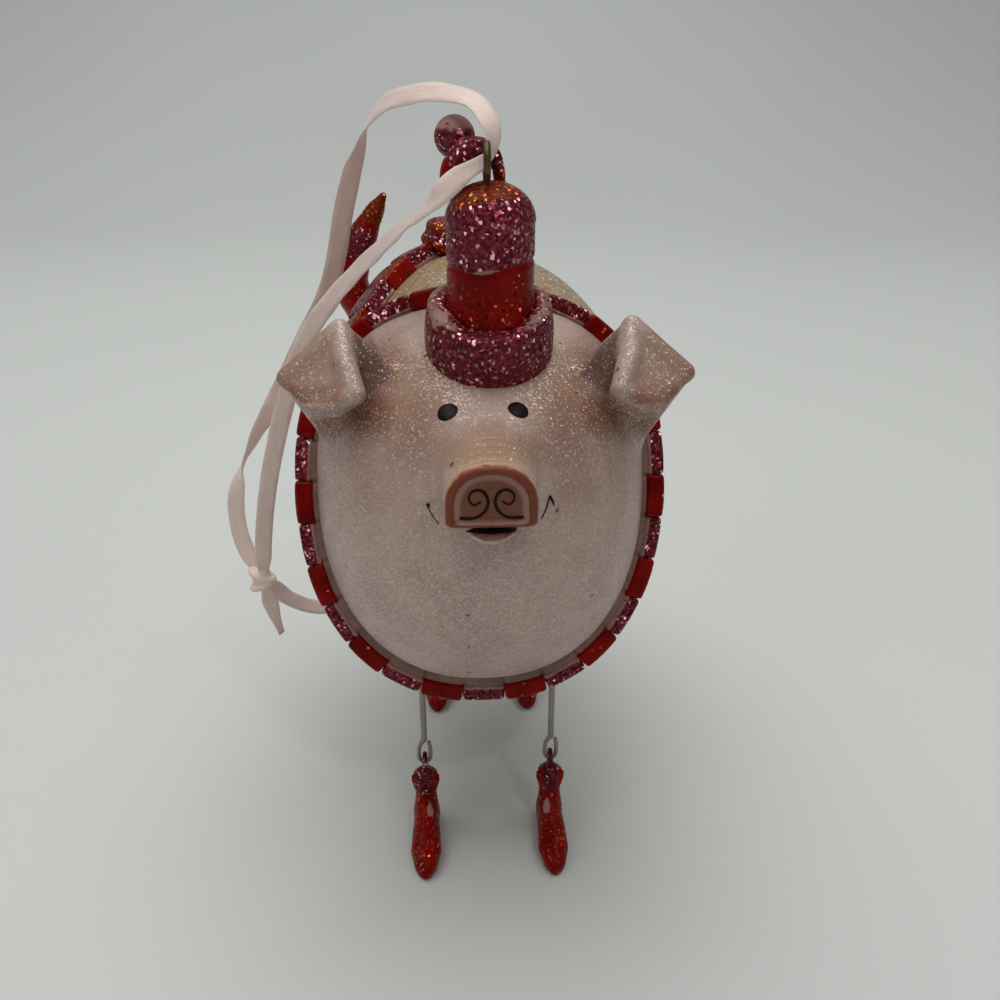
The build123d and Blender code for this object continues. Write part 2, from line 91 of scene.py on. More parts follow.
LEGS = {"front_left": (10.4, -18.6, 30.644), "front_right": (-10.4, -18.6, 30.644),
        "rear_left": (9.0, 25.1, 28.87), "rear_right": (-9.0, 25.1, 28.87)}
LEG_RING, ANKLE_Z, BOOT_EYE = 1.35, 13.5, 1.15
# One side view of the leg's lower loop, across and up
LEG_LOOP = ((0.0, 17.9), (-0.45, 17.3), (-0.85, 16.3), (-0.95, 15.2), (-0.9, 14.2), (-0.55, 13.6),
            (0.0, 13.5),
            (0.55, 13.6), (0.9, 14.2), (0.95, 15.2), (0.9, 16.4), (0.75, 17.4))
FOOT_RINGS = np.array(((2.3, 2.2, 1.0, 1.5), (1.2, 2.4, 1.9, 2.8), (-1.5, 2.8, 2.05, 3.2),
                       (-5.0, 2.3, 2.3, 2.7),
                       (-8.5, 1.8, 2.45, 2.2), (-11.5, 1.3, 1.7, 1.7), (-13.1, 0.9, 0.6, 0.7)))
SHAFT_RINGS = np.array(((0.0, 1.9), (3.0, 1.9), (8.2, 1.75), (9.6, 1.95), (10.9, 2.0), (12.0, 0.9)))

# The ribbon's two routes, each from the wire eye through the knot to a cut end
FRONT_ROUTE = ((0.0, -29.0, 109.3), (-3.0, -29.2, 108.0), (-6.8, -29.0, 104.4), (-11.2, -18.5, 99.6),
               (-19.4, -9.2, 91.0), (-26.2, -5.4, 82.4), (-30.4, -3.0, 71.5), (-34.8, 0.0, 57.5),
               (-37.4, 2.6, 45.0), (-38.4, 3.8, 36.0), (-37.6, 4.3, 30.0), (-36.4, 4.4, 24.4))
ARCH_ROUTE = ((0.0, -29.0, 109.3), (0.8, -29.0, 110.9), (0.7, -28.0, 113.4), (-0.9, -25.6, 115.5),
              (-3.9, -22.4, 116.4), (-8.4, -18.4, 116.2), (-12.7, -14.6, 114.8), (-15.2, -11.4, 112.0),
              (-17.4, -8.0, 106.4), (-19.6, -4.6, 99.8), (-21.2, -1.6, 92.8), (-23.4, 0.6, 86.5),
              (-27.0, 2.0, 80.6), (-33.2, 4.2, 69.0), (-39.4, 6.0, 59.0), (-42.6, 6.8, 50.0),
              (-42.0, 6.2, 42.0), (-38.8, 4.4, 36.4), (-35.6, 8.6, 29.2), (-31.0, 14.0, 23.5),
              (-24.6, 20.0, 20.5))
# Which way the ribbon's face looks at some of the points of each route
FRONT_FACING = {0: (0.0, -0.95, 0.3), 1: (-0.05, -0.85, 0.45), 2: (-0.1, -0.65, 0.55), 4: (-0.1, -0.66, 0.55),
                6: (0.0, -0.95, 0.3), 8: (0.25, -1.0, 0.1), 10: (0.3, -0.9, -0.1), 11: (0.8, -0.6, 0.1)}
ARCH_FACING = {0: (0.7, -0.5, -0.4), 1: (0.6, -0.75, 0.0), 2: (0.5, -0.8, 0.25), 3: (0.35, -0.78, 0.55),
               4: (0.15, -0.78, 0.62), 5: (0.0, -0.85, 0.55), 6: (-0.2, -0.75, 0.65), 7: (-0.9, -0.05, 0.5),
               8: (-0.5, 0.85, 0.0), 9: (-0.2, 1.0, 0.1), 13: (0.0, 1.0, 0.2), 14: (-0.72, 0.2, 0.49),
               15: (0.0, -1.0, 0.3), 17: (0.1, -0.9, 0.4), 18: (0.1, -0.7, 0.7), 20: (0.1, -0.6, 0.8)}
RIBBON_KNOT, RIBBON_KNOT_RADII = np.array((-38.6, 4.1, 36.0)), np.array((2.0, 1.8, 2.8))

# The photograph's camera, and the places of the painted marks in its pixels
CAMERA_PLACE = np.array((-4.2, -151.0, 122.7))
CAMERA_PITCH, CAMERA_YAW, CAMERA_LENS = math.radians(25.0), math.radians(2.7), 36.0
PHOTO_SIDE = 1000.0
EYE_PIXELS = ((447.5, 412.2), (518.3, 410.2))
SMILE_PIXELS = (((428.0, 504.0), (428.6, 507.0)), ((428.2, 506.0), (432.0, 515.0), (439.0, 524.0)),
                ((549.6, 496.0), (547.0, 506.0), (541.5, 519.0)),
                ((549.6, 496.0), (552.0, 500.0), (554.0, 505.0)))
SMILE_WIDTHS = (0.30, 0.09, 0.13, 0.20)
# One nostril curl as places on the snout's front, from its inner end; the other is its mirror image
NOSTRIL_CURL = ((-1.23, 75.12), (-1.98, 74.74), (-2.51, 75.28), (-2.42, 76.12), (-1.73, 76.56), (-1.0, 76.38),
                (-0.5, 75.64), (-0.41, 74.84), (-0.72, 74.04), (-1.39, 73.39), (-2.35, 73.1), (-3.6, 73.16))
SNOUT_SHIFT = -0.35
LIP_CENTRE, LIP_RADII = np.array((-0.3, -45.3, 70.15)), np.array((3.1, 4.4, 1.25))
# How far before a place to look for a surface that hides it from the lens, in millimetres
HIDDEN_STEPS = (1.2, 2.4, 3.6, 4.8, 6.0, 7.2)
# Outlines in the photograph's pixels: the slit of the mouth, the lower lip, and the hollow of the left ear
SLIT_OUTLINE = ((463.0, 532.0), (476.0, 527.0), (500.0, 524.5), (533.0, 526.8), (521.0, 530.6),
                (508.0, 533.2),
                (493.0, 534.6), (478.0, 533.8))
LIP_OUTLINE = ((469.0, 533.0), (480.0, 534.0), (493.0, 534.6), (508.0, 533.2), (516.0, 532.0), (507.0, 537.5),
               (494.0, 541.2), (484.0, 541.0), (475.0, 536.6))
HOLLOW_OUTLINE = ((580.0, 377.0), (592.0, 356.0), (603.0, 333.0), (630.0, 316.0), (624.0, 340.0),
                  (616.0, 366.0),
                  (614.0, 384.0), (622.0, 402.0), (604.0, 394.0))
# Airbrushed spots in the photograph's pixels: place, reach and strength, the same on both sides of the face
FACE_LINE = 487.0
BROWN_SPOTS = ((606.0, 414.0, 38.0, 34.0, 0.85), (586.0, 362.0, 24.0, 36.0, 0.7),
               (642.0, 424.0, 26.0, 18.0, 0.8),
               (568.0, 430.0, 44.0, 52.0, 0.45), (540.0, 372.0, 40.0, 14.0, 0.35))
TAN_SPOTS = ((487.0, 452.0, 62.0, 24.0, 0.95), (565.0, 395.0, 46.0, 44.0, 0.8),
             (520.0, 368.0, 70.0, 22.0, 0.8),
             (590.0, 470.0, 50.0, 60.0, 0.35), (487.0, 432.0, 40.0, 14.0, 0.6))


def from_srgb(red, green, blue):
    """A colour given as 0 to 255, as Blender's linear colour."""
    values = []
    for value in (red, green, blue):
        share = value / 255.0
        values.append(share / 12.92 if share <= 0.04045 else ((share + 0.055) / 1.055) ** 2.4)
    return tuple(values)


class OrnamentSizes(bpy.types.PropertyGroup):
    """Sizes of the dressed pieces."""
    head_step: bpy.props.FloatProperty(name="Head detail",
                                       description="Grid step of the cast head in millimetres",
                                       default=0.36, min=0.2, max=2.0)
    rump_step: bpy.props.FloatProperty(name="Rump detail",
                                       description="Grid step of the cast rear in millimetres",
                                       default=0.7, min=0.3, max=2.0)
    fine_step: bpy.props.FloatProperty(name="Fine detail",
                                       description="Grid step of small cast pieces in millimetres",
                                       default=0.26, min=0.1, max=1.0)
    paint_step: bpy.props.FloatProperty(name="Mark detail",
                                        description="Grid step of the eyes in millimetres",
                                        default=0.11, min=0.05, max=0.5)
    blocks: bpy.props.IntProperty(name="Collar blocks", description="Raised blocks round the collar",
                                  default=28, min=6)
    band_blocks: bpy.props.IntProperty(name="Band blocks", description="Raised blocks on the back band",
                                       default=5, min=2)
    block_gap: bpy.props.FloatProperty(name="Block gap", description="Gap between two blocks in millimetres",
                                       default=0.02, min=0.0, max=2.0)
    eye_radius: bpy.props.FloatProperty(name="Eye radius",
                                        description="Radius of a painted eye in millimetres",
                                        default=1.35, min=0.3, max=4.0)
    ribbon_width: bpy.props.FloatProperty(name="Ribbon width", description="Width of the satin ribbon",
                                          unit="LENGTH",
                                          default=0.0029, min=0.001, max=0.01)
    ribbon_thickness: bpy.props.FloatProperty(name="Ribbon thickness",
                                              description="Thickness of the satin ribbon",
                                              unit="LENGTH", default=0.00024, min=0.0001, max=0.001)


class OrnamentPaint(bpy.types.PropertyGroup):
    """Colours of the finishes."""
    pearl: bpy.props.FloatVectorProperty(name="Pearl", description="Pale pearl paint of the face",
                                         subtype="COLOR",
                                         default=from_srgb(186, 162, 152), min=0.0, max=1.0)
    blush: bpy.props.FloatVectorProperty(name="Blush", description="Airbrushed brown at ears and snout",
                                         subtype="COLOR", default=from_srgb(118, 68, 44), min=0.0, max=1.0)
    mauve: bpy.props.FloatVectorProperty(name="Mauve", description="Inside of the ears", subtype="COLOR",
                                         default=from_srgb(102, 72, 64), min=0.0, max=1.0)
    # Painted crease shade: a dark olive colour laid into the crease where the face meets the collar, standing in
    # for the shade there
    painted_crease_shade: bpy.props.FloatVectorProperty(name="Crease_shade", description="Antique wash in the corners",
                                         subtype="COLOR",
                                         default=from_srgb(92, 72, 46), min=0.0, max=1.0)
    tan: bpy.props.FloatVectorProperty(name="Back tan", description="Brushed tan of the back",
                                       subtype="COLOR",
                                       default=from_srgb(156, 132, 99), min=0.0, max=1.0)
    magenta: bpy.props.FloatVectorProperty(name="Magenta", description="Magenta paint under the glitter",
                                           subtype="COLOR", default=from_srgb(98, 26, 38), min=0.0, max=1.0)
    red: bpy.props.FloatVectorProperty(name="Red", description="Red lacquer", subtype="COLOR",
                                       default=from_srgb(140, 11, 7), min=0.0, max=1.0)
    orange: bpy.props.FloatVectorProperty(name="Orange", description="Orange-red glitter paint",
                                          subtype="COLOR",
                                          default=from_srgb(110, 34, 13), min=0.0, max=1.0)
    primer: bpy.props.FloatVectorProperty(name="Bare cast", description="Pinkish cast where paint is worn",
                                          subtype="COLOR", default=from_srgb(184, 138, 128), min=0.0, max=1.0)
    satin: bpy.props.FloatVectorProperty(name="Satin", description="Pale pink ribbon", subtype="COLOR",
                                         default=from_srgb(250, 234, 226), min=0.0, max=1.0)


class OrnamentStage(bpy.types.PropertyGroup):
    """Floor and light."""
    floor_tone: bpy.props.FloatVectorProperty(name="Floor", description="Pale seamless floor",
                                              subtype="COLOR",
                                              default=from_srgb(210, 213, 210), min=0.0, max=1.0)
    overhead: bpy.props.FloatProperty(name="Overhead light", description="Power of the broad overhead light",
                                      default=6.6, min=0.0, unit="POWER")
    sky: bpy.props.FloatProperty(name="Room light", description="Strength of the light from all round",
                                 default=0.34,
                                 min=0.0)


# Fields: signed distances in millimetres, on arrays of points
def blend_union(a, b, soft):
    share = np.clip(0.5 + 0.5 * (b - a) / soft, 0.0, 1.0)
    return b + (a - b) * share - soft * share * (1.0 - share)


def blend_cut(a, b, soft):
    return -blend_union(-a, -b, soft)


def egg_distance(points, centre, radii):
    offset = points - centre
    near = np.linalg.norm(offset / radii, axis=-1)
    slope = np.linalg.norm(offset / (radii * radii), axis=-1)
    return near * (near - 1.0) / np.maximum(slope, 1e-6)


def rod_distance(points, route, radii):
    """Distance to a tapering rod along a route, with each point's place along it from 0 to 1."""
    best = np.full(len(points), 1e9)
    along = np.zeros(len(points))
    lengths = np.linalg.norm(np.diff(route, axis=0), axis=1)
    total = lengths.sum()
    passed = 0.0
    for index in range(len(route) - 1):
        start, run = route[index], route[index + 1] - route[index]
        share = np.clip(((points - start) @ run) / (run @ run), 0.0, 1.0)
        reach = radii[index] + (radii[index + 1] - radii[index]) * share
        gap = np.linalg.norm(points - start - share[:, None] * run, axis=1) - reach
        nearer = gap < best
        best = np.where(nearer, gap, best)
        along = np.where(nearer, (passed + share * lengths[index]) / total, along)
        passed += lengths[index]
    return best, along


def leaf_distance(points, a, b, c):
    """Distance to a flat triangle."""
    normal = np.cross(b - a, c - a)
    normal = normal / np.linalg.norm(normal)
    edges = []
    inside = np.ones(len(points), bool)
    for start, end in ((a, b), (b, c), (c, a)):
        run = end - start
        offset = points - start
        share = np.clip((offset @ run) / (run @ run), 0.0, 1.0)
        edges.append(np.linalg.norm(offset - share[:, None] * run, axis=1))
        inside &= (offset @ np.cross(normal, run)) >= 0.0
    flat = np.abs((points - a) @ normal)
    return np.where(inside, flat, np.minimum(np.minimum(edges[0], edges[1]), edges[2]))


def smooth_route(route, steps):
    """A rounded line through the points of a route, as many points as steps."""
    route = np.asarray(route, float)
    lengths = np.concatenate(((0.0,), np.cumsum(np.linalg.norm(np.diff(route, axis=0), axis=1))))
    slopes = np.gradient(route, lengths, axis=0)
    wanted = np.linspace(0.0, lengths[-1], steps)
    index = np.clip(np.searchsorted(lengths, wanted, side="right") - 1, 0, len(route) - 2)
    span = lengths[index + 1] - lengths[index]
    t = ((wanted - lengths[index]) / span)[:, None]
    span = span[:, None]
    return ((2 * t ** 3 - 3 * t ** 2 + 1) * route[index] + (t ** 3 - 2 * t ** 2 + t) * span * slopes[index]
            + (-2 * t ** 3 + 3 * t ** 2) * route[index + 1] + (t ** 3 - t ** 2) * span * slopes[index + 1])


def soft_step(value, low, high):
    share = np.clip((value - low) / (high - low), 0.0, 1.0)
    return share * share * (3.0 - 2.0 * share)


def collar_frame(points):
    """Points as seen from the leaning collar: across, forward negative, and up its plane."""
    offset = points - COLLAR_CENTRE
    turn, lift = math.cos(COLLAR_LEAN), math.sin(COLLAR_LEAN)
    return offset[:, 0], offset[:, 1] * turn - offset[:, 2] * lift, offset[:, 1] * lift + offset[:, 2] * turn


def from_collar_frame(across, depth, up):
    turn, lift = math.cos(COLLAR_LEAN), math.sin(COLLAR_LEAN)
    return COLLAR_CENTRE + np.stack((across, depth * turn + up * lift, up * turn - depth * lift), -1)


def outline_gauge(across, up, side, top, bottom, fullness):
    """How far out a point is in a rounded outline, 1 on its edge, with the slopes of that measure."""
    power = np.where(up > 0.0, fullness, LOWER_FULLNESS)
    height = np.where(up > 0.0, top, bottom)
    a, b = np.maximum(np.abs(across) / side, 1e-6), np.maximum(np.abs(up) / height, 1e-6)
    gauge = (a ** power + b ** power) ** (1.0 / power)
    return gauge, (a / gauge) ** (power - 1.0) / side, (b / gauge) ** (power - 1.0) / height


def dome_distance(points):
    across, depth, up = collar_frame(points)
    gauge, slope_a, slope_b = outline_gauge(across, up, FACE_SIDE, FACE_TOP, FACE_BOTTOM, FACE_FULLNESS)
    forward = (depth - FACE_SET_BACK) / FACE_REACH
    reach = np.sqrt(gauge * gauge + forward * forward)
    share = gauge / np.maximum(reach, 1e-6)
    slope = np.sqrt((share * slope_a) ** 2 + (share * slope_b) ** 2
                    + (forward / np.maximum(reach, 1e-6) / FACE_REACH) ** 2)
    return (reach - 1.0) / np.maximum(slope, 1e-4)


def snout_gauge(points, widen):
    """Place across the D-shaped snout, 1 on its edge, and its distance from that edge."""
    across, up = np.abs(points[:, 0] - SNOUT_SHIFT), points[:, 2] - SNOUT_Z
    side = SNOUT_SIDE + widen
    height = np.where(up > 0.0, SNOUT_RISE, SNOUT_CHIN) + widen
    power = np.where(up > 0.0, 2.25, 9.0)
    a, b = np.maximum(across / side, 1e-6), np.maximum(np.abs(up) / height, 1e-6)
    gauge = (a ** power + b ** power) ** (1.0 / power)
    slope = np.sqrt(((a / gauge) ** (power - 1.0) / side) ** 2 + ((b / gauge) ** (power - 1.0) / height) ** 2)
    return gauge, (gauge - 1.0) / np.maximum(slope, 1e-4)


def ear_pieces(points):
    """Distances to the web, the flap and the inner ridge of the ears."""
    mirrored = np.array(points, float)
    mirrored[:, 0] = np.abs(mirrored[:, 0])
    middle = (EAR_TOP + EAR_TIP + EAR_FLAP_OUTER + EAR_FLAP_INNER) / 4.0
    top, tip, outer, inner = (corner + (middle - corner) * 0.13
                              for corner in (EAR_TOP, EAR_TIP, EAR_FLAP_OUTER, EAR_FLAP_INNER))
    foot_inner, foot_outer = EAR_FOOT_INNER, EAR_FOOT_OUTER
    web = np.minimum(leaf_distance(mirrored, foot_inner, foot_outer, tip),
                     leaf_distance(mirrored, foot_inner, tip, top)) - 1.0
    flap = np.minimum(leaf_distance(mirrored, top, tip, outer),
                      leaf_distance(mirrored, top, outer, inner)) - 1.0
    fold = rod_distance(mirrored, np.stack((top, (top + tip) / 2 + (0.2, 0.0, -0.5), tip)),
                        (1.15, 1.2, 1.05))[0]
    roll = rod_distance(mirrored, np.stack((outer, (outer + inner) / 2 + (0.0, -0.4, -0.5), inner)),
                        (1.15, 1.4, 1.2))[0]
    lip = rod_distance(mirrored, np.stack((inner, (inner + top) / 2 + (0.4, -0.3, 0.0), top)),
                       (1.15, 1.3, 1.15))[0]
    flap = blend_union(flap, np.minimum(np.minimum(fold, roll), lip), 0.9)
    start = foot_inner * 0.72 + foot_outer * 0.28 + (0.6, -0.9, 0.6)
    ridge = rod_distance(mirrored, np.stack((start, start * 0.3 + top * 0.7 + (-0.2, -0.9, -0.6))),
                         (0.55, 0.75))[0]
    return web, flap, ridge


def head_distance(points):
    skin = dome_distance(points)
    front = SNOUT_FRONT + 1.0
    back = np.clip((points[:, 1] - front) / 12.0, 0.0, 1.0)
    ripple = 0.17 * np.sin((points[:, 1] - front) * 2.0 * math.pi / 1.75)
    behind = soft_step(points[:, 1], front + 0.6, front + 1.6)
    ripple = ripple * behind * soft_step(-points[:, 1], -front - 8.0, -front - 5.0)
    ripple = ripple * soft_step(points[:, 2], SNOUT_Z + 0.5, SNOUT_Z + 3.0)
    _, stalk = snout_gauge(points, 0.05 + 1.3 * back * back)
    stalk = blend_cut(stalk - ripple, front - points[:, 1], 0.6)
    stalk = np.maximum(stalk, points[:, 1] + 30.0)
    lip = egg_distance(points, LIP_CENTRE, LIP_RADII)
    skin = blend_union(skin, stalk, 3.2)
    skin = blend_union(skin, lip, 0.35)
    web, flap, ridge = ear_pieces(points)
    skin = blend_union(skin, blend_union(web, ridge, 0.8), 2.0)
    skin = np.minimum(skin, blend_union(web, flap, 0.45))
    _, depth, _ = collar_frame(points)
    return np.maximum(skin, depth - 0.5)


def rump_distance(points):
    offset = points - RUMP_CENTRE
    reach = np.where(offset[:, 1] < 0.0, RUMP_FRONT_REACH, RUMP_HALF[1])
    radii = np.stack((np.full(len(points), RUMP_HALF[0]), reach, np.full(len(points), RUMP_HALF[2])), -1)
    near = np.linalg.norm(offset / radii, axis=1)
    slope = np.linalg.norm(offset / (radii * radii), axis=1)
    return near * (near - 1.0) / np.maximum(slope, 1e-6)


def skin_mesh(field, low, high, step, settle=3):
    """A quad mesh of a field's zero surface inside a box, settled onto that surface."""
    low, high = np.asarray(low, float), np.asarray(high, float)
    counts = np.ceil((high - low) / step).astype(int) + 1
    axes = [low[i] + step * np.arange(counts[i]) for i in range(3)]
    values = np.empty(counts)
    plane = np.stack(np.meshgrid(axes[1], axes[2], indexing="ij"), -1).reshape(-1, 2)
    rows = max(1, 200000 // len(plane))
    for first in range(0, counts[0], rows):
        xs = axes[0][first:first + rows]
        block = np.empty((len(xs), len(plane), 3))
        block[:, :, 0] = xs[:, None]
        block[:, :, 1:] = plane
        values[first:first + rows] = field(block.reshape(-1, 3)).reshape(len(xs), counts[1], counts[2])
    inside = values < 0.0
    corners = [(i, j, k) for i in (0, 1) for j in (0, 1) for k in (0, 1)]
    held = np.zeros(counts - 1, np.int8)
    for i, j, k in corners:
        held += inside[i:counts[0] - 1 + i, j:counts[1] - 1 + j, k:counts[2] - 1 + k]
    cells = np.argwhere((held > 0) & (held < 8))
    number = np.full(counts - 1, -1, np.int64)
    number[tuple(cells.T)] = np.arange(len(cells))
    places, hits = np.zeros((len(cells), 3)), np.zeros(len(cells))
    for axis in range(3):
        for corner in corners:
            if corner[axis]:
                continue
            start = cells + corner
            end = start.copy()
            end[:, axis] += 1
            one, two = values[tuple(start.T)], values[tuple(end.T)]
            cross = (one < 0.0) != (two < 0.0)
            share = np.where(cross, one / np.where(cross, one - two, 1.0), 0.0)
            spot = start.astype(float)
            spot[:, axis] += share
            places[cross] += spot[cross]
            hits[cross] += 1.0
    points = low + step * places / hits[:, None]
    faces = []
    for axis in range(3):
        u, v = (axis + 1) % 3, (axis + 2) % 3
        size = list(counts)
        size[axis] -= 1
        here = [slice(None)] * 3
        there = [slice(None)] * 3
        here[axis], there[axis] = slice(0, -1), slice(1, None)
        cut = inside[tuple(here)] != inside[tuple(there)]
        spots = np.argwhere(cut)
        past_start = (spots[:, u] > 0) & (spots[:, v] > 0)
        good = past_start & (spots[:, u] < counts[u] - 1) & (spots[:, v] < counts[v] - 1)
        spots = spots[good]
        ring = []
        for du, dv in ((-1, -1), (0, -1), (0, 0), (-1, 0)):
            cell = spots.copy()
            cell[:, u] += du
            cell[:, v] += dv
            ring.append(number[tuple(cell.T)])
        quads = np.stack(ring, -1)
        outward = inside[tuple(here)][tuple(spots.T)]
        faces.append(np.where(outward[:, None], quads, quads[:, ::-1]))
    faces = np.concatenate(faces)
    for _ in range(settle):
        gap, slope = field(points), field_slope(field, points)
        length = np.maximum((slope * slope).sum(1), 0.05)
        points = points - slope * np.clip(gap / length, -0.4 * step, 0.4 * step)[:, None]
    return points, faces


def field_slope(field, points, step=0.02):
    slope = np.empty_like(points)
    for axis in range(3):
        move = np.zeros(3)
        move[axis] = step
        slope[:, axis] = (field(points + move) - field(points - move)) / (2.0 * step)
    return slope


def tube_mesh(route, radii, sides=12):
    """A closed tube along a line of points, with a rounded cap of one point at each end."""
    route = np.asarray(route, float)
    radii = np.broadcast_to(np.asarray(radii, float), (len(route),))
    tangents = np.gradient(route, axis=0)
    tangents = tangents / np.linalg.norm(tangents, axis=1)[:, None]
    side = np.cross(tangents[0], (0.13, 0.31, 0.94))
    points, faces = [], []
    for index in range(len(route)):
        side = side - tangents[index] * (side @ tangents[index])
        side = side / np.linalg.norm(side)
        other = np.cross(tangents[index], side)
        for turn in np.linspace(0.0, 2.0 * math.pi, sides, endpoint=False):
            points.append(route[index] + radii[index] * (side * math.cos(turn) + other * math.sin(turn)))
    points.append(route[0] - tangents[0] * radii[0] * 0.5)
    points.append(route[-1] + tangents[-1] * radii[-1] * 0.5)
    for index in range(len(route) - 1):
        for turn in range(sides):
            a, b = index * sides + turn, index * sides + (turn + 1) % sides
            faces.append((a, b, b + sides, a + sides))
    last = (len(route) - 1) * sides
    for turn in range(sides):
        following = (turn + 1) % sides
        faces.append((len(points) - 2, following, turn))
        faces.append((len(points) - 1, last + turn, last + following))
    return np.array(points), faces


def make_piece(name, points, faces, material, body, nodes=(), masks=None):
    """A mesh piece from points in millimetres, with its masks, finish and place in the frame."""
    mesh = bpy.data.meshes.new(name)
    mesh.from_pydata((np.asarray(points) * MM).tolist(), [],
                     faces if isinstance(faces, list) else faces.tolist())
    mesh.polygons.foreach_set("use_smooth", np.ones(len(mesh.polygons), bool))
    for label, values in (masks or {}).items():
        values = np.asarray(values, float)
        kind = "FLOAT" if values.ndim == 1 else "FLOAT_COLOR"
        layer = mesh.attributes.new(label, kind, "POINT")
        layer.data.foreach_set("value" if values.ndim == 1 else "color", values.ravel())
    mesh.materials.append(material)
    mesh.update()
    obj = bpy.data.objects.new(name, mesh)
    bpy.context.scene.collection.objects.link(obj)
    return settle_piece(obj, body, nodes)


def settle_piece(obj, body, nodes=()):
    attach(obj, body)
    if nodes:
        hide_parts(*nodes)
    return obj


def coat(points, magenta=0.0, red=0.0, orange=0.0, gloss=0.0):
    """Paint weights of each point: magenta, red, orange, and how smooth the lacquer is."""
    parts = [np.broadcast_to(np.asarray(part, float), (len(points),))
             for part in (magenta, red, orange, gloss)]
    return np.stack(parts, -1)


def camera_axes():
    """The camera's forward, right and up directions, and its focal length in pixels."""
    forward = np.array((math.sin(CAMERA_YAW) * math.cos(CAMERA_PITCH),
                        math.cos(CAMERA_YAW) * math.cos(CAMERA_PITCH),
                        -math.sin(CAMERA_PITCH)))
    right = np.array((math.cos(CAMERA_YAW), -math.sin(CAMERA_YAW), 0.0))
    return forward, right, np.cross(right, forward), PHOTO_SIDE * CAMERA_LENS / 36.0


def photo_ray(pixel):
    """The camera's line of sight through a pixel of the photograph."""
    forward, right, up, focus = camera_axes()
    ray = forward + right * (pixel[0] - PHOTO_SIDE / 2) / focus + up * (PHOTO_SIDE / 2 - pixel[1]) / focus
    return ray / np.linalg.norm(ray)


def photo_pixels(points):
    """The pixels of the photograph in which places lie."""
    forward, right, up, focus = camera_axes()
    offset = points - CAMERA_PLACE
    scale = focus / (offset @ forward)
    return np.stack((PHOTO_SIDE / 2 + offset @ right * scale, PHOTO_SIDE / 2 - offset @ up * scale), -1)


def outline_gap(places, corners):
    """How far places lie outside a closed outline, negative inside it."""
    corners = np.asarray(corners, float)
    best = np.full(len(places), 1e9)
    inside = np.zeros(len(places), bool)
    for start, end in zip(corners, np.roll(corners, -1, axis=0)):
        run, offset = end - start, places - start
        share = np.clip((offset @ run) / (run @ run), 0.0, 1.0)
        best = np.minimum(best, np.linalg.norm(offset - share[:, None] * run, axis=1))
        level = start[0] + offset[:, 1] * run[0] / (run[1] if run[1] else 1e-9)
        inside ^= ((start[1] > places[:, 1]) != (end[1] > places[:, 1])) & (places[:, 0] < level)
    return np.where(inside, -best, best)


def airbrush(pixels, spots):
    """The strongest of some soft round spots at each pixel."""
    best = np.zeros(len(pixels))
    for x, y, wide, tall, strength in spots:
        reach = ((pixels[:, 0] - x) / wide) ** 2 + ((pixels[:, 1] - y) / tall) ** 2
        best = np.maximum(best, strength * np.exp(-reach))
    return best


def seen_place(pixel, field):
    """Where a pixel's line of sight first meets a field's surface."""
    ray = photo_ray(pixel)
    travel = 70.0
    for _ in range(200):
        gap = field((CAMERA_PLACE + ray * travel)[None, :])[0]
        travel += 0.6 * gap
        if abs(gap) < 0.002:
            break
    return CAMERA_PLACE + ray * travel


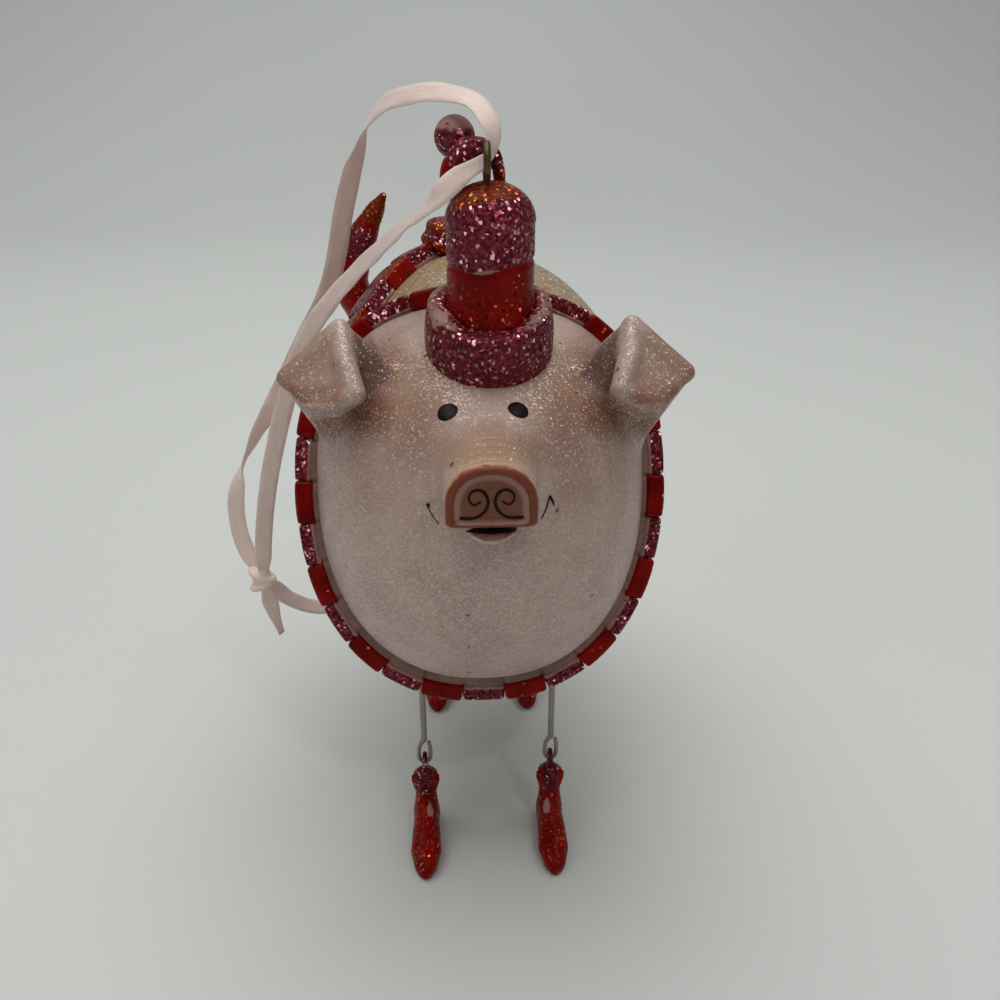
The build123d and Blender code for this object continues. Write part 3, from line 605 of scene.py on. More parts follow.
# Shader helpers
class ShaderTree:
    """Adds and links nodes in one shader tree."""

    def __init__(self, tree):
        self.tree = tree

    def add(self, kind, **settings):
        node = self.tree.nodes.new(kind)
        for label, value in settings.items():
            setattr(node, label, value)
        return node

    def put(self, target, value):
        if isinstance(value, bpy.types.NodeSocket):
            self.tree.links.new(value, target)
        elif hasattr(target.default_value, "__len__") and len(target.default_value) == 4 and len(value) == 3:
            target.default_value = (*value, 1.0)
        else:
            target.default_value = value

    def math(self, operation, a, b=0.0, clamp=False):
        node = self.add("ShaderNodeMath", operation=operation, use_clamp=clamp)
        self.put(node.inputs[0], a)
        self.put(node.inputs[1], b)
        return node.outputs[0]

    def mix(self, factor, a, b, blend="MIX"):
        node = self.add("ShaderNodeMix", data_type="RGBA", blend_type=blend)
        self.put(node.inputs[0], factor)
        self.put(node.inputs[6], a)
        self.put(node.inputs[7], b)
        return node.outputs[2]

    def blend(self, factor, a, b):
        node = self.add("ShaderNodeMix", data_type="FLOAT")
        self.put(node.inputs[0], factor)
        self.put(node.inputs[2], a)
        self.put(node.inputs[3], b)
        return node.outputs[0]

    def step(self, value, low, high, start=0.0, end=1.0):
        node = self.add("ShaderNodeMapRange", interpolation_type="SMOOTHSTEP")
        for index, part in enumerate((value, low, high, start, end)):
            self.put(node.inputs[index], part)
        return node.outputs[0]

    def vector(self, operation, a, b=None, scale=None):
        node = self.add("ShaderNodeVectorMath", operation=operation)
        self.put(node.inputs[0], a)
        if b is not None:
            self.put(node.inputs[1], b)
        if scale is not None:
            self.put(node.inputs["Scale"], scale)
        return node.outputs["Value"] if operation in ("DOT_PRODUCT", "LENGTH") else node.outputs[0]

    def noise(self, vector, scale, detail=2.0, roughness=0.5):
        node = self.add("ShaderNodeTexNoise")
        self.put(node.inputs["Vector"], vector)
        self.put(node.inputs["Scale"], scale)
        self.put(node.inputs["Detail"], detail)
        self.put(node.inputs["Roughness"], roughness)
        return node.outputs[0]

    def cells(self, vector, scale):
        node = self.add("ShaderNodeTexVoronoi")
        self.put(node.inputs["Vector"], vector)
        self.put(node.inputs["Scale"], scale)
        return node.outputs["Color"], node.outputs["Distance"]

    def split(self, colour):
        return self.add_link("ShaderNodeSeparateColor", colour).outputs

    def add_link(self, kind, value):
        node = self.add(kind)
        self.put(node.inputs[0], value)
        return node

    def mask(self, label):
        return self.add("ShaderNodeAttribute", attribute_name=label).outputs

    def place(self):
        return self.add("ShaderNodeTexCoord").outputs["Object"]

    def sky_height(self):
        """How far up a world direction looks, from -1 to 1."""
        return self.add_link("ShaderNodeSeparateXYZ",
                             self.add("ShaderNodeTexCoord").outputs["Generated"]).outputs[2]

    def group(self, name, **values):
        node = self.add("ShaderNodeGroup", node_tree=bpy.data.node_groups[name])
        for label, value in values.items():
            self.put(node.inputs[label.replace("_", " ")], value)
        return node.outputs


def new_group(name, inputs, outputs):
    """An empty shader group with named sockets, its tree, its inputs and its outputs."""
    group = bpy.data.node_groups.new(name, "ShaderNodeTree")
    for label, kind, default in inputs:
        made = group.interface.new_socket(name=label, in_out="INPUT", socket_type=kind)
        made.default_value = default
    for label, kind in outputs:
        group.interface.new_socket(name=label, in_out="OUTPUT", socket_type=kind)
    tree = ShaderTree(group)
    return tree, tree.add("NodeGroupInput").outputs, tree.add("NodeGroupOutput").inputs


FLOAT, COLOUR, VECTOR = "NodeSocketFloat", "NodeSocketColor", "NodeSocketVector"
GREY = (0.5, 0.5, 0.5, 1.0)


def build_groups():
    """Shader groups that several finishes share."""
    tree, given, made = new_group(
        "Glitter",
        (("Paint", COLOUR, GREY), ("Flake", COLOUR, GREY), ("Glint", COLOUR, GREY),
         ("Flakes per metre", FLOAT, 2600.0),
         ("Cover", FLOAT, 0.7), ("Tilt", FLOAT, 0.9), ("Paint roughness", FLOAT, 0.35)),
        (("Color", COLOUR), ("Roughness", FLOAT), ("Metallic", FLOAT), ("Normal", VECTOR)))
    place = tree.place()
    colour, _ = tree.cells(place, given["Flakes per metre"])
    chance, tone, painted_glint_pick = tree.split(colour)[0:3]
    flake = tree.math("LESS_THAN", chance, given["Cover"])
    shade = tree.mix(tree.step(tone, 0.0, 1.0), tree.mix(0.55, given["Flake"], given["Paint"]),
                     given["Flake"])
    # Painted glint: a share of the flakes takes a pale colour that stands in for their sparkle, a painted
    # highlight
    shade = tree.mix(tree.step(painted_glint_pick, 0.84, 0.94), shade, given["Glint"])
    tree.put(made["Color"], tree.mix(flake, given["Paint"], shade))
    tree.put(made["Roughness"], tree.blend(flake, given["Paint roughness"], tree.blend(tone, 0.2, 0.38)))
    tree.put(made["Metallic"], tree.math("MULTIPLY", flake, 0.75))
    lean = tree.vector("SCALE", tree.vector("SUBTRACT", colour, (0.5, 0.5, 0.5)),
                       scale=tree.math("MULTIPLY", flake, given["Tilt"]))
    facing = tree.add("ShaderNodeNewGeometry").outputs["Normal"]
    tree.put(made["Normal"], tree.vector("NORMALIZE", tree.vector("ADD", facing, lean)))

    tree, given, made = new_group(
        "Specks", (("Specks per metre", FLOAT, 700.0), ("Amount", FLOAT, 0.1), ("Size", FLOAT, 0.2)),
        (("Mask", FLOAT),))
    colour, distance = tree.cells(tree.place(), given["Specks per metre"])
    chance, size, _ = tree.split(colour)[0:3]
    small = tree.math("LESS_THAN", distance, tree.math("MULTIPLY", size, given["Size"]))
    tree.put(made["Mask"], tree.math("MULTIPLY", small, tree.math("LESS_THAN", chance, given["Amount"])))

    tree, given, made = new_group(
        "Worn edge", (("Mask", FLOAT, 0.0), ("Fray per metre", FLOAT, 900.0), ("Fray", FLOAT, 0.35)),
        (("Mask", FLOAT),))
    fray = tree.math("SUBTRACT", tree.noise(tree.place(), given["Fray per metre"], 3.0, 0.6), 0.5)
    frayed = tree.math("ADD", given["Mask"], tree.math("MULTIPLY", fray, given["Fray"]))
    tree.put(made["Mask"], tree.step(frayed, 0.42, 0.58))

    tree, given, made = new_group(
        "Brushed streaks", (("Turn", VECTOR, (0.0, 0.0, 0.0)), ("Stretch", VECTOR, (900.0, 60.0, 900.0))),
        (("Value", FLOAT),))
    turned = tree.add("ShaderNodeMapping", vector_type="POINT")
    tree.put(turned.inputs["Vector"], tree.place())
    tree.put(turned.inputs["Rotation"], given["Turn"])
    drawn = tree.vector("MULTIPLY", turned.outputs[0], given["Stretch"])
    tree.put(made["Value"], tree.noise(drawn, 1.0, 3.0, 0.55))


def new_material(name):
    """A material with its Principled shader, its tree and that shader's inputs."""
    material = bpy.data.materials.new(name)
    material.use_nodes = True
    shader = material.node_tree.nodes["Principled BSDF"]
    return material, ShaderTree(material.node_tree), shader.inputs


def bump(tree, height, strength, distance, normal=None):
    node = tree.add("ShaderNodeBump")
    node.inputs["Strength"].default_value = strength
    node.inputs["Distance"].default_value = distance
    tree.put(node.inputs["Height"], height)
    if normal is not None:
        tree.put(node.inputs["Normal"], normal)
    return node.outputs[0]


def pearl_finish(paint):
    material, tree, shader = new_material("pearl_glaze")
    blush, mauve, painted_crease_shade = tree.split(tree.mask("tint")["Color"])[0:3]
    place = tree.place()
    drift = tree.noise(place, 160.0, 3.0)
    base = tree.mix(tree.step(drift, 0.35, 0.7), tuple(paint.pearl), from_srgb(174, 147, 139))
    wash = tree.mask("tint")["Alpha"]
    base = tree.mix(tree.math("MULTIPLY", wash, 0.85), base,
                    tree.mix(drift, from_srgb(152, 113, 80), from_srgb(138, 99, 68)))
    cloud = tree.math("ADD", blush, tree.math("MULTIPLY", tree.math("SUBTRACT", drift, 0.5), 0.25))
    base = tree.mix(tree.step(cloud, 0.02, 1.0), base, tuple(paint.blush))
    base = tree.mix(mauve, base, tuple(paint.mauve))
    # Painted shade in the crease at the collar, laid into the colour
    base = tree.mix(painted_crease_shade, base, tuple(paint.painted_crease_shade))
    dots = tree.group("Specks", Specks_per_metre=620.0, Amount=0.16, Size=0.24)["Mask"]
    base = tree.mix(tree.math("MULTIPLY", dots, 0.8), base, from_srgb(96, 48, 34))
    dulled = tree.math("MAXIMUM", wash, mauve)
    # The glint colour below is a painted highlight on a share of the pearl flakes
    sparkle = tree.group("Glitter", Paint=base, Flake=tree.mix(0.2, base, from_srgb(255, 240, 230)),
                         Glint=from_srgb(212, 190, 176), Flakes_per_metre=5200.0,
                         Cover=tree.math("SUBTRACT", 0.5, tree.math("MULTIPLY", dulled, 0.36)), Tilt=0.36,
                         Paint_roughness=0.48)
    tree.put(shader["Base Color"], sparkle["Color"])
    tree.put(shader["Roughness"], sparkle["Roughness"])
    tree.put(shader["Metallic"], tree.math("MULTIPLY", sparkle["Metallic"], 0.3))
    grain = tree.noise(place, 2300.0, 2.0)
    tree.put(shader["Normal"], bump(tree, grain, 0.35, 0.0001, sparkle["Normal"]))
    shader["Specular IOR Level"].default_value = 0.22
    return material


def back_finish(paint):
    material, tree, shader = new_material("brushed_back")
    crest = tree.mask("crest")["Fac"]
    streak = tree.group("Brushed streaks", Turn=(0.0, 0.0, 0.5), Stretch=(1500.0, 70.0, 700.0))["Value"]
    place = tree.place()
    pearl = tree.mix(tree.noise(place, 150.0, 2.0), tuple(paint.pearl), from_srgb(174, 149, 138))
    tan = tree.mix(tree.step(streak, 0.38, 0.66), tuple(paint.tan), from_srgb(136, 110, 78))
    base = tree.mix(crest, pearl, tan)
    dots = tree.group("Specks", Specks_per_metre=500.0, Amount=0.08, Size=0.2)["Mask"]
    base = tree.mix(tree.math("MULTIPLY", dots, 0.7), base, from_srgb(110, 70, 48))
    # The glint colour below is a painted highlight on a share of the back's flakes
    sparkle = tree.group("Glitter", Paint=base, Flake=tree.mix(0.3, base, from_srgb(255, 240, 225)),
                         Glint=from_srgb(255, 248, 238), Flakes_per_metre=3000.0, Cover=0.3, Tilt=0.3,
                         Paint_roughness=0.4)
    tree.put(shader["Base Color"], sparkle["Color"])
    tree.put(shader["Roughness"], sparkle["Roughness"])
    tree.put(shader["Metallic"], tree.math("MULTIPLY", sparkle["Metallic"], 0.4))
    tree.put(shader["Normal"], bump(tree, streak, 0.3, 0.0002, sparkle["Normal"]))
    shader["Specular IOR Level"].default_value = 0.25
    return material


def painted_finish(name, paint, flakes=2500.0, cover=0.78, fray=0.35):
    """Glitter paint whose colours follow a piece's own paint weights, bare where they are all low."""
    material, tree, shader = new_material(name)
    given = tree.mask("paint")
    weights = tree.split(given["Color"])
    magenta, red, orange = (tree.group("Worn edge", Mask=weights[i], Fray=fray)["Mask"] for i in range(3))
    place = tree.place()
    bare = tree.mix(tree.noise(place, 500.0, 3.0), tuple(paint.primer), from_srgb(128, 98, 92))
    depth = tree.step(tree.noise(place, 260.0, 2.0), 0.3, 0.7)
    # The fourth colour of each layer is the painted glint of its sparkling flakes, a painted highlight
    layers = ((orange, tuple(paint.orange), from_srgb(146, 56, 24), from_srgb(220, 132, 78), 0.55),
              (red, tree.mix(depth, tuple(paint.red), from_srgb(104, 6, 4)), from_srgb(146, 32, 16),
               from_srgb(220, 112, 62), 0.36),
              (magenta, tree.mix(depth, tuple(paint.magenta), from_srgb(70, 13, 24)), from_srgb(142, 58, 68),
               from_srgb(236, 176, 180), cover))
    # The painted glint starts near white on the bare cast
    base, flake, painted_glint, share = bare, bare, from_srgb(255, 240, 232), 0.05
    for weight, under, flakes_of, painted_glint_of, part in layers:
        base = tree.mix(weight, base, under)
        flake = tree.mix(weight, flake, flakes_of)
        painted_glint = tree.mix(weight, painted_glint, painted_glint_of)
        share = tree.blend(weight, share, part)
    share = tree.math("MULTIPLY", share,
                      tree.math("SUBTRACT", 1.0, tree.math("MULTIPLY", given["Alpha"], 0.93)))
    glitter = tree.group("Glitter", Paint=base, Flake=flake, Glint=painted_glint, Flakes_per_metre=flakes,
                         Cover=share,
                         Tilt=1.25, Paint_roughness=0.3)
    tree.put(shader["Base Color"], glitter["Color"])
    tree.put(shader["Roughness"], glitter["Roughness"])
    tree.put(shader["Metallic"], glitter["Metallic"])
    tree.put(shader["Normal"], bump(tree, tree.noise(place, 1800.0, 2.0), 0.25, 0.0001, glitter["Normal"]))
    shader["Specular IOR Level"].default_value = 0.08
    return material


def wall_finish(paint):
    material, tree, shader = new_material("collar_wall")
    shade = tree.mask("wall")["Fac"]
    place = tree.place()
    rub = tree.noise(place, 420.0, 4.0, 0.6)
    base = tree.mix(rub, from_srgb(160, 124, 116), from_srgb(112, 80, 72))
    # Painted shade: the wall turns to the crease shade colour toward the face, and at the dark seams between
    # blocks
    wash = tree.step(tree.math("ADD", shade, tree.math("MULTIPLY", tree.math("SUBTRACT", rub, 0.5), 0.7)),
                     0.3, 0.8)
    base = tree.mix(wash, base, tuple(paint.painted_crease_shade))
    tree.put(shader["Base Color"], base)
    tree.put(shader["Roughness"], tree.step(rub, 0.3, 0.7, 0.34, 0.6))
    tree.put(shader["Normal"], bump(tree, rub, 0.3, 0.0003))
    shader["Specular IOR Level"].default_value = 0.25
    return material


def snout_finish():
    material, tree, shader = new_material("snout_front")
    ring = tree.mask("ring")["Fac"]
    place = tree.place()
    rub = tree.noise(place, 520.0, 4.0, 0.6)
    middle = tree.mix(rub, from_srgb(136, 88, 66), from_srgb(106, 58, 40))
    rim = tree.mix(rub, from_srgb(134, 70, 44), from_srgb(106, 48, 29))
    pale = tree.mix(rub, from_srgb(172, 130, 122), from_srgb(146, 104, 94))
    wave = tree.math("MULTIPLY", tree.math("SUBTRACT", rub, 0.5), 0.10)
    edge = tree.math("ADD", ring, wave)
    base = tree.mix(tree.step(edge, 0.62, 0.72), middle, pale)
    base = tree.mix(tree.step(edge, 0.77, 0.83), base, rim)
    # Pale outer edge: the side band's own colour, with a painted highlight along the rounded edge
    base = tree.mix(tree.step(edge, 0.985, 1.02), base, from_srgb(186, 146, 122))
    tree.put(shader["Base Color"], base)
    tree.put(shader["Roughness"], tree.step(rub, 0.3, 0.7, 0.3, 0.5))
    tree.put(shader["Normal"], bump(tree, rub, 0.2, 0.0003))
    shader["Specular IOR Level"].default_value = 0.25
    return material


def black_finish():
    material, tree, shader = new_material("black_marks")
    place = tree.place()
    rub = tree.noise(place, 1500.0, 3.0)
    tree.put(shader["Base Color"], tree.mix(rub, from_srgb(8, 5, 5), from_srgb(34, 22, 20)))
    tree.put(shader["Roughness"], tree.step(rub, 0.3, 0.7, 0.3, 0.5))
    tree.put(shader["Normal"], bump(tree, rub, 0.25, 0.0001))
    shader["Specular IOR Level"].default_value = 0.12
    return material


def wire_finish(name, bright, dark, patina, roughness):
    material, tree, shader = new_material(name)
    streak = tree.group("Brushed streaks", Stretch=(2600.0, 2600.0, 240.0))["Value"]
    stain = tree.step(tree.noise(tree.place(), 480.0, 3.0), 0.42, 0.72)
    base = tree.mix(streak, bright, dark)
    tree.put(shader["Base Color"], tree.mix(stain, base, patina))
    tree.put(shader["Metallic"], tree.blend(stain, 0.85, 0.35))
    tree.put(shader["Roughness"], tree.step(streak, 0.2, 0.8, roughness, roughness + 0.2))
    tree.put(shader["Normal"], bump(tree, streak, 0.2, 0.0001))
    return material


def satin_finish(paint):
    material, tree, shader = new_material("satin_ribbon")
    cloth = tree.add("ShaderNodeUVMap", uv_map="weave").outputs[0]
    split = tree.add_link("ShaderNodeSeparateXYZ", cloth).outputs
    threads = tree.math("SINE", tree.math("MULTIPLY", split[0], 2.0 * math.pi * 17.0))
    wander = tree.noise(tree.vector("MULTIPLY", cloth, (26.0, 0.35, 1.0)), 1.0, 3.0)
    picks = tree.math("SINE", tree.math("MULTIPLY", split[1], 2.0 * math.pi * 5.5))
    line = tree.math("ADD", tree.math("MULTIPLY", threads, 0.22), tree.math("MULTIPLY", wander, 0.9))
    base = tree.mix(tree.step(line, 0.15, 0.95), from_srgb(238, 208, 198), tuple(paint.satin))
    edge = tree.step(tree.math("ABSOLUTE", tree.math("SUBTRACT", split[0], 0.5)), 0.42, 0.49)
    base = tree.mix(edge, base, from_srgb(246, 226, 218))
    tree.put(shader["Base Color"], base)
    tree.put(shader["Roughness"], tree.step(line, 0.0, 1.0, 0.5, 0.3))
    height = tree.math("ADD", line, tree.math("MULTIPLY", picks, 0.1))
    tree.put(shader["Normal"], bump(tree, height, 0.5, 0.00012))
    shader["Sheen Weight"].default_value = 0.35
    shader["Sheen Roughness"].default_value = 0.35
    shader["Subsurface Weight"].default_value = 0.08
    shader["Subsurface Radius"].default_value = (0.0012, 0.0008, 0.0006)
    shader["Anisotropic"].default_value = 0.4
    return material


def finish(name):
    """A finish by its name, made once."""
    paint = bpy.context.scene.ornament_paint
    if not bpy.data.node_groups.get("Glitter"):
        build_groups()
    makers = {
        "pearl_glaze": lambda: pearl_finish(paint), "brushed_back": lambda: back_finish(paint),
        "collar_wall": lambda: wall_finish(paint), "snout_front": snout_finish,
        "black_marks": black_finish, "satin_ribbon": lambda: satin_finish(paint),
        "band_glitter": lambda: painted_finish("band_glitter", paint, 3200.0, 0.66),
        "hat_glitter": lambda: painted_finish("hat_glitter", paint, 2900.0, 0.76, 0.3),
        "boot_glitter": lambda: painted_finish("boot_glitter", paint, 3200.0, 0.5, 0.6),
        "leg_steel": lambda: wire_finish("leg_steel", from_srgb(168, 160, 150), from_srgb(128, 120, 113),
                                         from_srgb(150, 138, 128), 0.38),
        "eye_bronze": lambda: wire_finish("eye_bronze", from_srgb(120, 100, 66), from_srgb(70, 58, 38),
                                          from_srgb(52, 44, 30), 0.35),
    }
    return bpy.data.materials.get(name) or makers[name]()


class ORNAMENT_OT_ribbon(bpy.types.Operator):
    """Lay the two strands of the satin ribbon and their knot"""
    bl_idname = "ornament.ribbon"
    bl_label = "Satin ribbon"

    def execute(self, context):
        sizes = context.scene.ornament_sizes
        knot = ribbon_knot()
        lay_strand("ribbon_front", FRONT_ROUTE, FRONT_FACING, sizes,
                   ("ribbon_front_strand", "ribbon_short_end"), 0.45)
        lay_strand("ribbon_arch", ARCH_ROUTE, ARCH_FACING, sizes, ("ribbon_arch_strand", "ribbon_long_end"),
                   1.0)
        return {"FINISHED"}


def spline_line(name, route):
    """Points of the NURBS line that has a route as its control points, in metres."""
    curve = bpy.data.curves.new(name, "CURVE")
    curve.dimensions = "3D"
    curve.resolution_u = 14
    spline = curve.splines.new("NURBS")
    spline.points.add(len(route) - 1)
    for point, place in zip(spline.points, route):
        point.co = (place[0] * MM, place[1] * MM, place[2] * MM, 1.0)
    spline.order_u = 3
    spline.use_endpoint_u = True
    holder = bpy.data.objects.new(name, curve)
    bpy.context.scene.collection.objects.link(holder)
    mesh = bpy.data.meshes.new_from_object(holder.evaluated_get(bpy.context.evaluated_depsgraph_get()))
    line = np.array([vertex.co for vertex in mesh.vertices], float)
    bpy.data.meshes.remove(mesh)
    bpy.data.objects.remove(holder)
    bpy.data.curves.remove(curve)
    return line


def lay_strand(name, route, facing, sizes, nodes, end_width):
    """One strand of ribbon: a thin strip that follows its route's NURBS line and narrows at its cut end."""
    line = spline_line(name + "_line", route)
    if np.linalg.norm(line[0] - np.array(route[0]) * MM) > np.linalg.norm(line[-1] - np.array(route[0]) * MM):
        line = line[::-1]
    gaps = np.linalg.norm(np.diff(line, axis=0), axis=1)
    travel = np.concatenate(((0.0,), np.cumsum(gaps)))
    share = travel / travel[-1]
    spots = [share[np.argmin(np.linalg.norm(line - np.array(route[index]) * MM, axis=1))] for index in facing]
    looks = np.stack([np.interp(share, spots, [look[axis] for look in facing.values()])
                      for axis in range(3)], -1)
    tangents = np.gradient(line, axis=0)
    tangents = tangents / np.linalg.norm(tangents, axis=1)[:, None]
    widths = np.cross(tangents, looks)
    widths = widths / np.linalg.norm(widths, axis=1)[:, None]
    faces_out = np.cross(widths, tangents)
    half = sizes.ribbon_width / 2
    thick = sizes.ribbon_thickness / 2
    gather = 0.62 + 0.38 * soft_step(travel, 0.001, 0.005)
    gather = gather * (0.6 + 0.4 * soft_step(np.linalg.norm(line - RIBBON_KNOT * MM, axis=1), 0.0015, 0.005))
    gather = gather * (1.0 - (1.0 - end_width) * soft_step(travel, travel[-1] - 0.008, travel[-1]))
    across = np.array((-1.0, -0.96, -0.5, 0.0, 0.5, 0.96, 1.0))
    lift = np.array((0.0, 1.0, 1.0, 1.0, 1.0, 1.0, 0.0))
    section = [(a, h) for a, h in zip(across, lift)]
    section += [(a, -h) for a, h in zip(across[-2:0:-1], lift[-2:0:-1])]
    count = len(section)
    points, faces, weave = [], [], []
    for index in range(len(line)):
        cup = 0.10 * half * math.sin(travel[index] * 900.0)
        for a, h in section:
            bend = cup * (a * a - 0.4)
            points.append(line[index] + widths[index] * half * gather[index] * a
                          + faces_out[index] * (thick * h + bend))
            weave.append((0.5 + 0.5 * a, travel[index] * 1000.0))
    for index in range(len(line) - 1):
        for turn in range(count):
            a, b = index * count + turn, index * count + (turn + 1) % count
            faces.append((a, a + count, b + count, b))
    faces.append(tuple(range(count)))
    faces.append(tuple(reversed(range((len(line) - 1) * count, len(line) * count))))
    obj = make_piece(name, np.array(points) / MM, faces, finish("satin_ribbon"), BODY, nodes)
    layer = obj.data.uv_layers.new(name="weave")
    for loop in obj.data.loops:
        layer.data[loop.index].uv = weave[loop.vertex_index]
    face_outward(obj)
    return obj


def face_outward(obj):
    work = bmesh.new()
    work.from_mesh(obj.data)
    bmesh.ops.recalc_face_normals(work, faces=work.faces)
    work.to_mesh(obj.data)
    work.free()


def ribbon_knot():
    """The overhand knot: a lump of wrapped ribbon with the turns of its loop."""
    def lump(points):
        core = egg_distance(points, RIBBON_KNOT, RIBBON_KNOT_RADII * 0.86)
        for shift, tip, radius in ((-0.55, 0.5, 0.62), (0.45, -0.6, 0.6)):
            turns = np.linspace(0.0, 2.0 * math.pi, 17)
            ring = RIBBON_KNOT + np.stack((1.75 * np.cos(turns), 1.5 * np.sin(turns),
                                           shift * 1.6 + tip * np.cos(turns) * 1.5), -1)
            core = blend_union(core, rod_distance(points, ring, np.full(17, radius))[0], 0.25)
        return core
    points, faces = skin_mesh(lump, RIBBON_KNOT - 4.5, RIBBON_KNOT + 4.5, 0.2)
    obj = make_piece("ribbon_tied_knot", points, faces, finish("satin_ribbon"), BODY, ("ribbon_knot",))
    layer = obj.data.uv_layers.new(name="weave")
    place = points - RIBBON_KNOT
    across = 0.5 + 0.28 * place[:, 2] + 0.1 * place[:, 0]
    around = 2.0 * np.arctan2(place[:, 1], place[:, 0])
    for loop in obj.data.loops:
        layer.data[loop.index].uv = (across[loop.vertex_index] % 1.0, around[loop.vertex_index])
    return obj


class ORNAMENT_OT_head(bpy.types.Operator):
    """Model the cast face with its ears, snout stalk and lower lip"""
    bl_idname = "ornament.head"
    bl_label = "Head"

    def execute(self, context):
        step = context.scene.ornament_sizes.head_step
        points, faces = skin_mesh(head_distance, (-28.5, -50.0, 31.0), (28.5, -8.0, 92.5), step)
        make_piece("head", points, faces, finish("pearl_glaze"), BODY,
                   ("face_shell", "ear_left", "ear_right"),
                   {"tint": self.tint(points)})
        return {"FINISHED"}

    @staticmethod
    def tint(points):
        """Airbrush weights: brown round the ears, mauve in them and a tan wash, with painted shade in the crease
        where the face meets the collar.
        """
        _, depth, _ = collar_frame(points)
        _, flap, ridge = ear_pieces(points)
        pixels = photo_pixels(points)
        pixels[:, 0] = FACE_LINE + np.abs(pixels[:, 0] - FACE_LINE)
        x, y = pixels[:, 0], pixels[:, 1]
        ahead = soft_step(-field_slope(head_distance, points)[:, 1], -0.1, 0.25)
        brown, tan = airbrush(pixels, BROWN_SPOTS), airbrush(pixels, TAN_SPOTS)
        silver = 1.0 - soft_step(x - np.maximum(632.0 - 0.36 * (y - 322.0), 614.0), 8.0, 26.0)
        low = soft_step(y, 374.0, 394.0) * soft_step(404.0 - y, -3.0, 3.0)
        roll = soft_step(y, 401.0, 407.0)
        rims = soft_step(x - 0.95 * (y - 317.0), 628.0, 640.0)
        on_flap = soft_step(0.5 - flap, 0.0, 0.5) > 0.5
        brown = np.where(on_flap, np.maximum(0.6 * low, 0.4 * rims) * (1.0 - 0.7 * silver), brown)
        tan = np.where(on_flap, (0.6 - 0.5 * roll) * (1.0 - silver), tan)
        in_hollow = soft_step(-outline_gap(pixels, HOLLOW_OUTLINE), -2.0, 2.5)
        hollow = in_hollow * ahead * soft_step(flap, 0.1, 0.4)
        mauve = hollow * (1.0 - 0.55 * soft_step(0.4 - ridge, 0.0, 0.5))
        brown = brown * (1.0 - 0.6 * hollow)
        mauve = np.maximum(mauve, np.where(on_flap, 0.4 * roll, 0.0))
        # Painted shade: the face is darkened in the crease just in front of the collar, where shade falls
        painted_crease_shade = 0.75 * soft_step(depth, -3.6, -2.4) * soft_step(-dome_distance(points), -0.8, 0.2)
        return np.stack((brown, 0.9 * mauve, painted_crease_shade, tan), -1)


class ORNAMENT_OT_snout(bpy.types.Operator):
    """Model the D-shaped snout front with its raised rim"""
    bl_idname = "ornament.snout"
    bl_label = "Snout front"

    def execute(self, context):
        step = 0.16
        points, faces = skin_mesh(self.plate, (-6.5, -50.6, 70.5), (7.3, -46.4, 80.6), step)
        gauge, _ = snout_gauge(points, 0.0)
        forward = soft_step(-points[:, 1], 49.0, 49.4)
        # Points behind the front face get a value past the edge, so the side band and rounded edge are painted
        # pale: the side's own colour, with a painted highlight on the rounded edge
        ring = np.where(forward > 0.0, gauge, 1.06)
        make_piece("snout_plate", points, faces, finish("snout_front"), BODY, ("snout",),
                   {"ring": ring})
        return {"FINISHED"}

    @staticmethod
    def plate(points):
        edge = snout_gauge(points, 0.0)[1]
        recess = 0.42 * soft_step(-edge, 0.75, 1.15) + 0.12 * soft_step(-edge, 1.3, 2.4)
        front = SNOUT_FRONT + recess - points[:, 1]
        return np.maximum(blend_cut(edge, front, 0.7), points[:, 1] + 46.9)


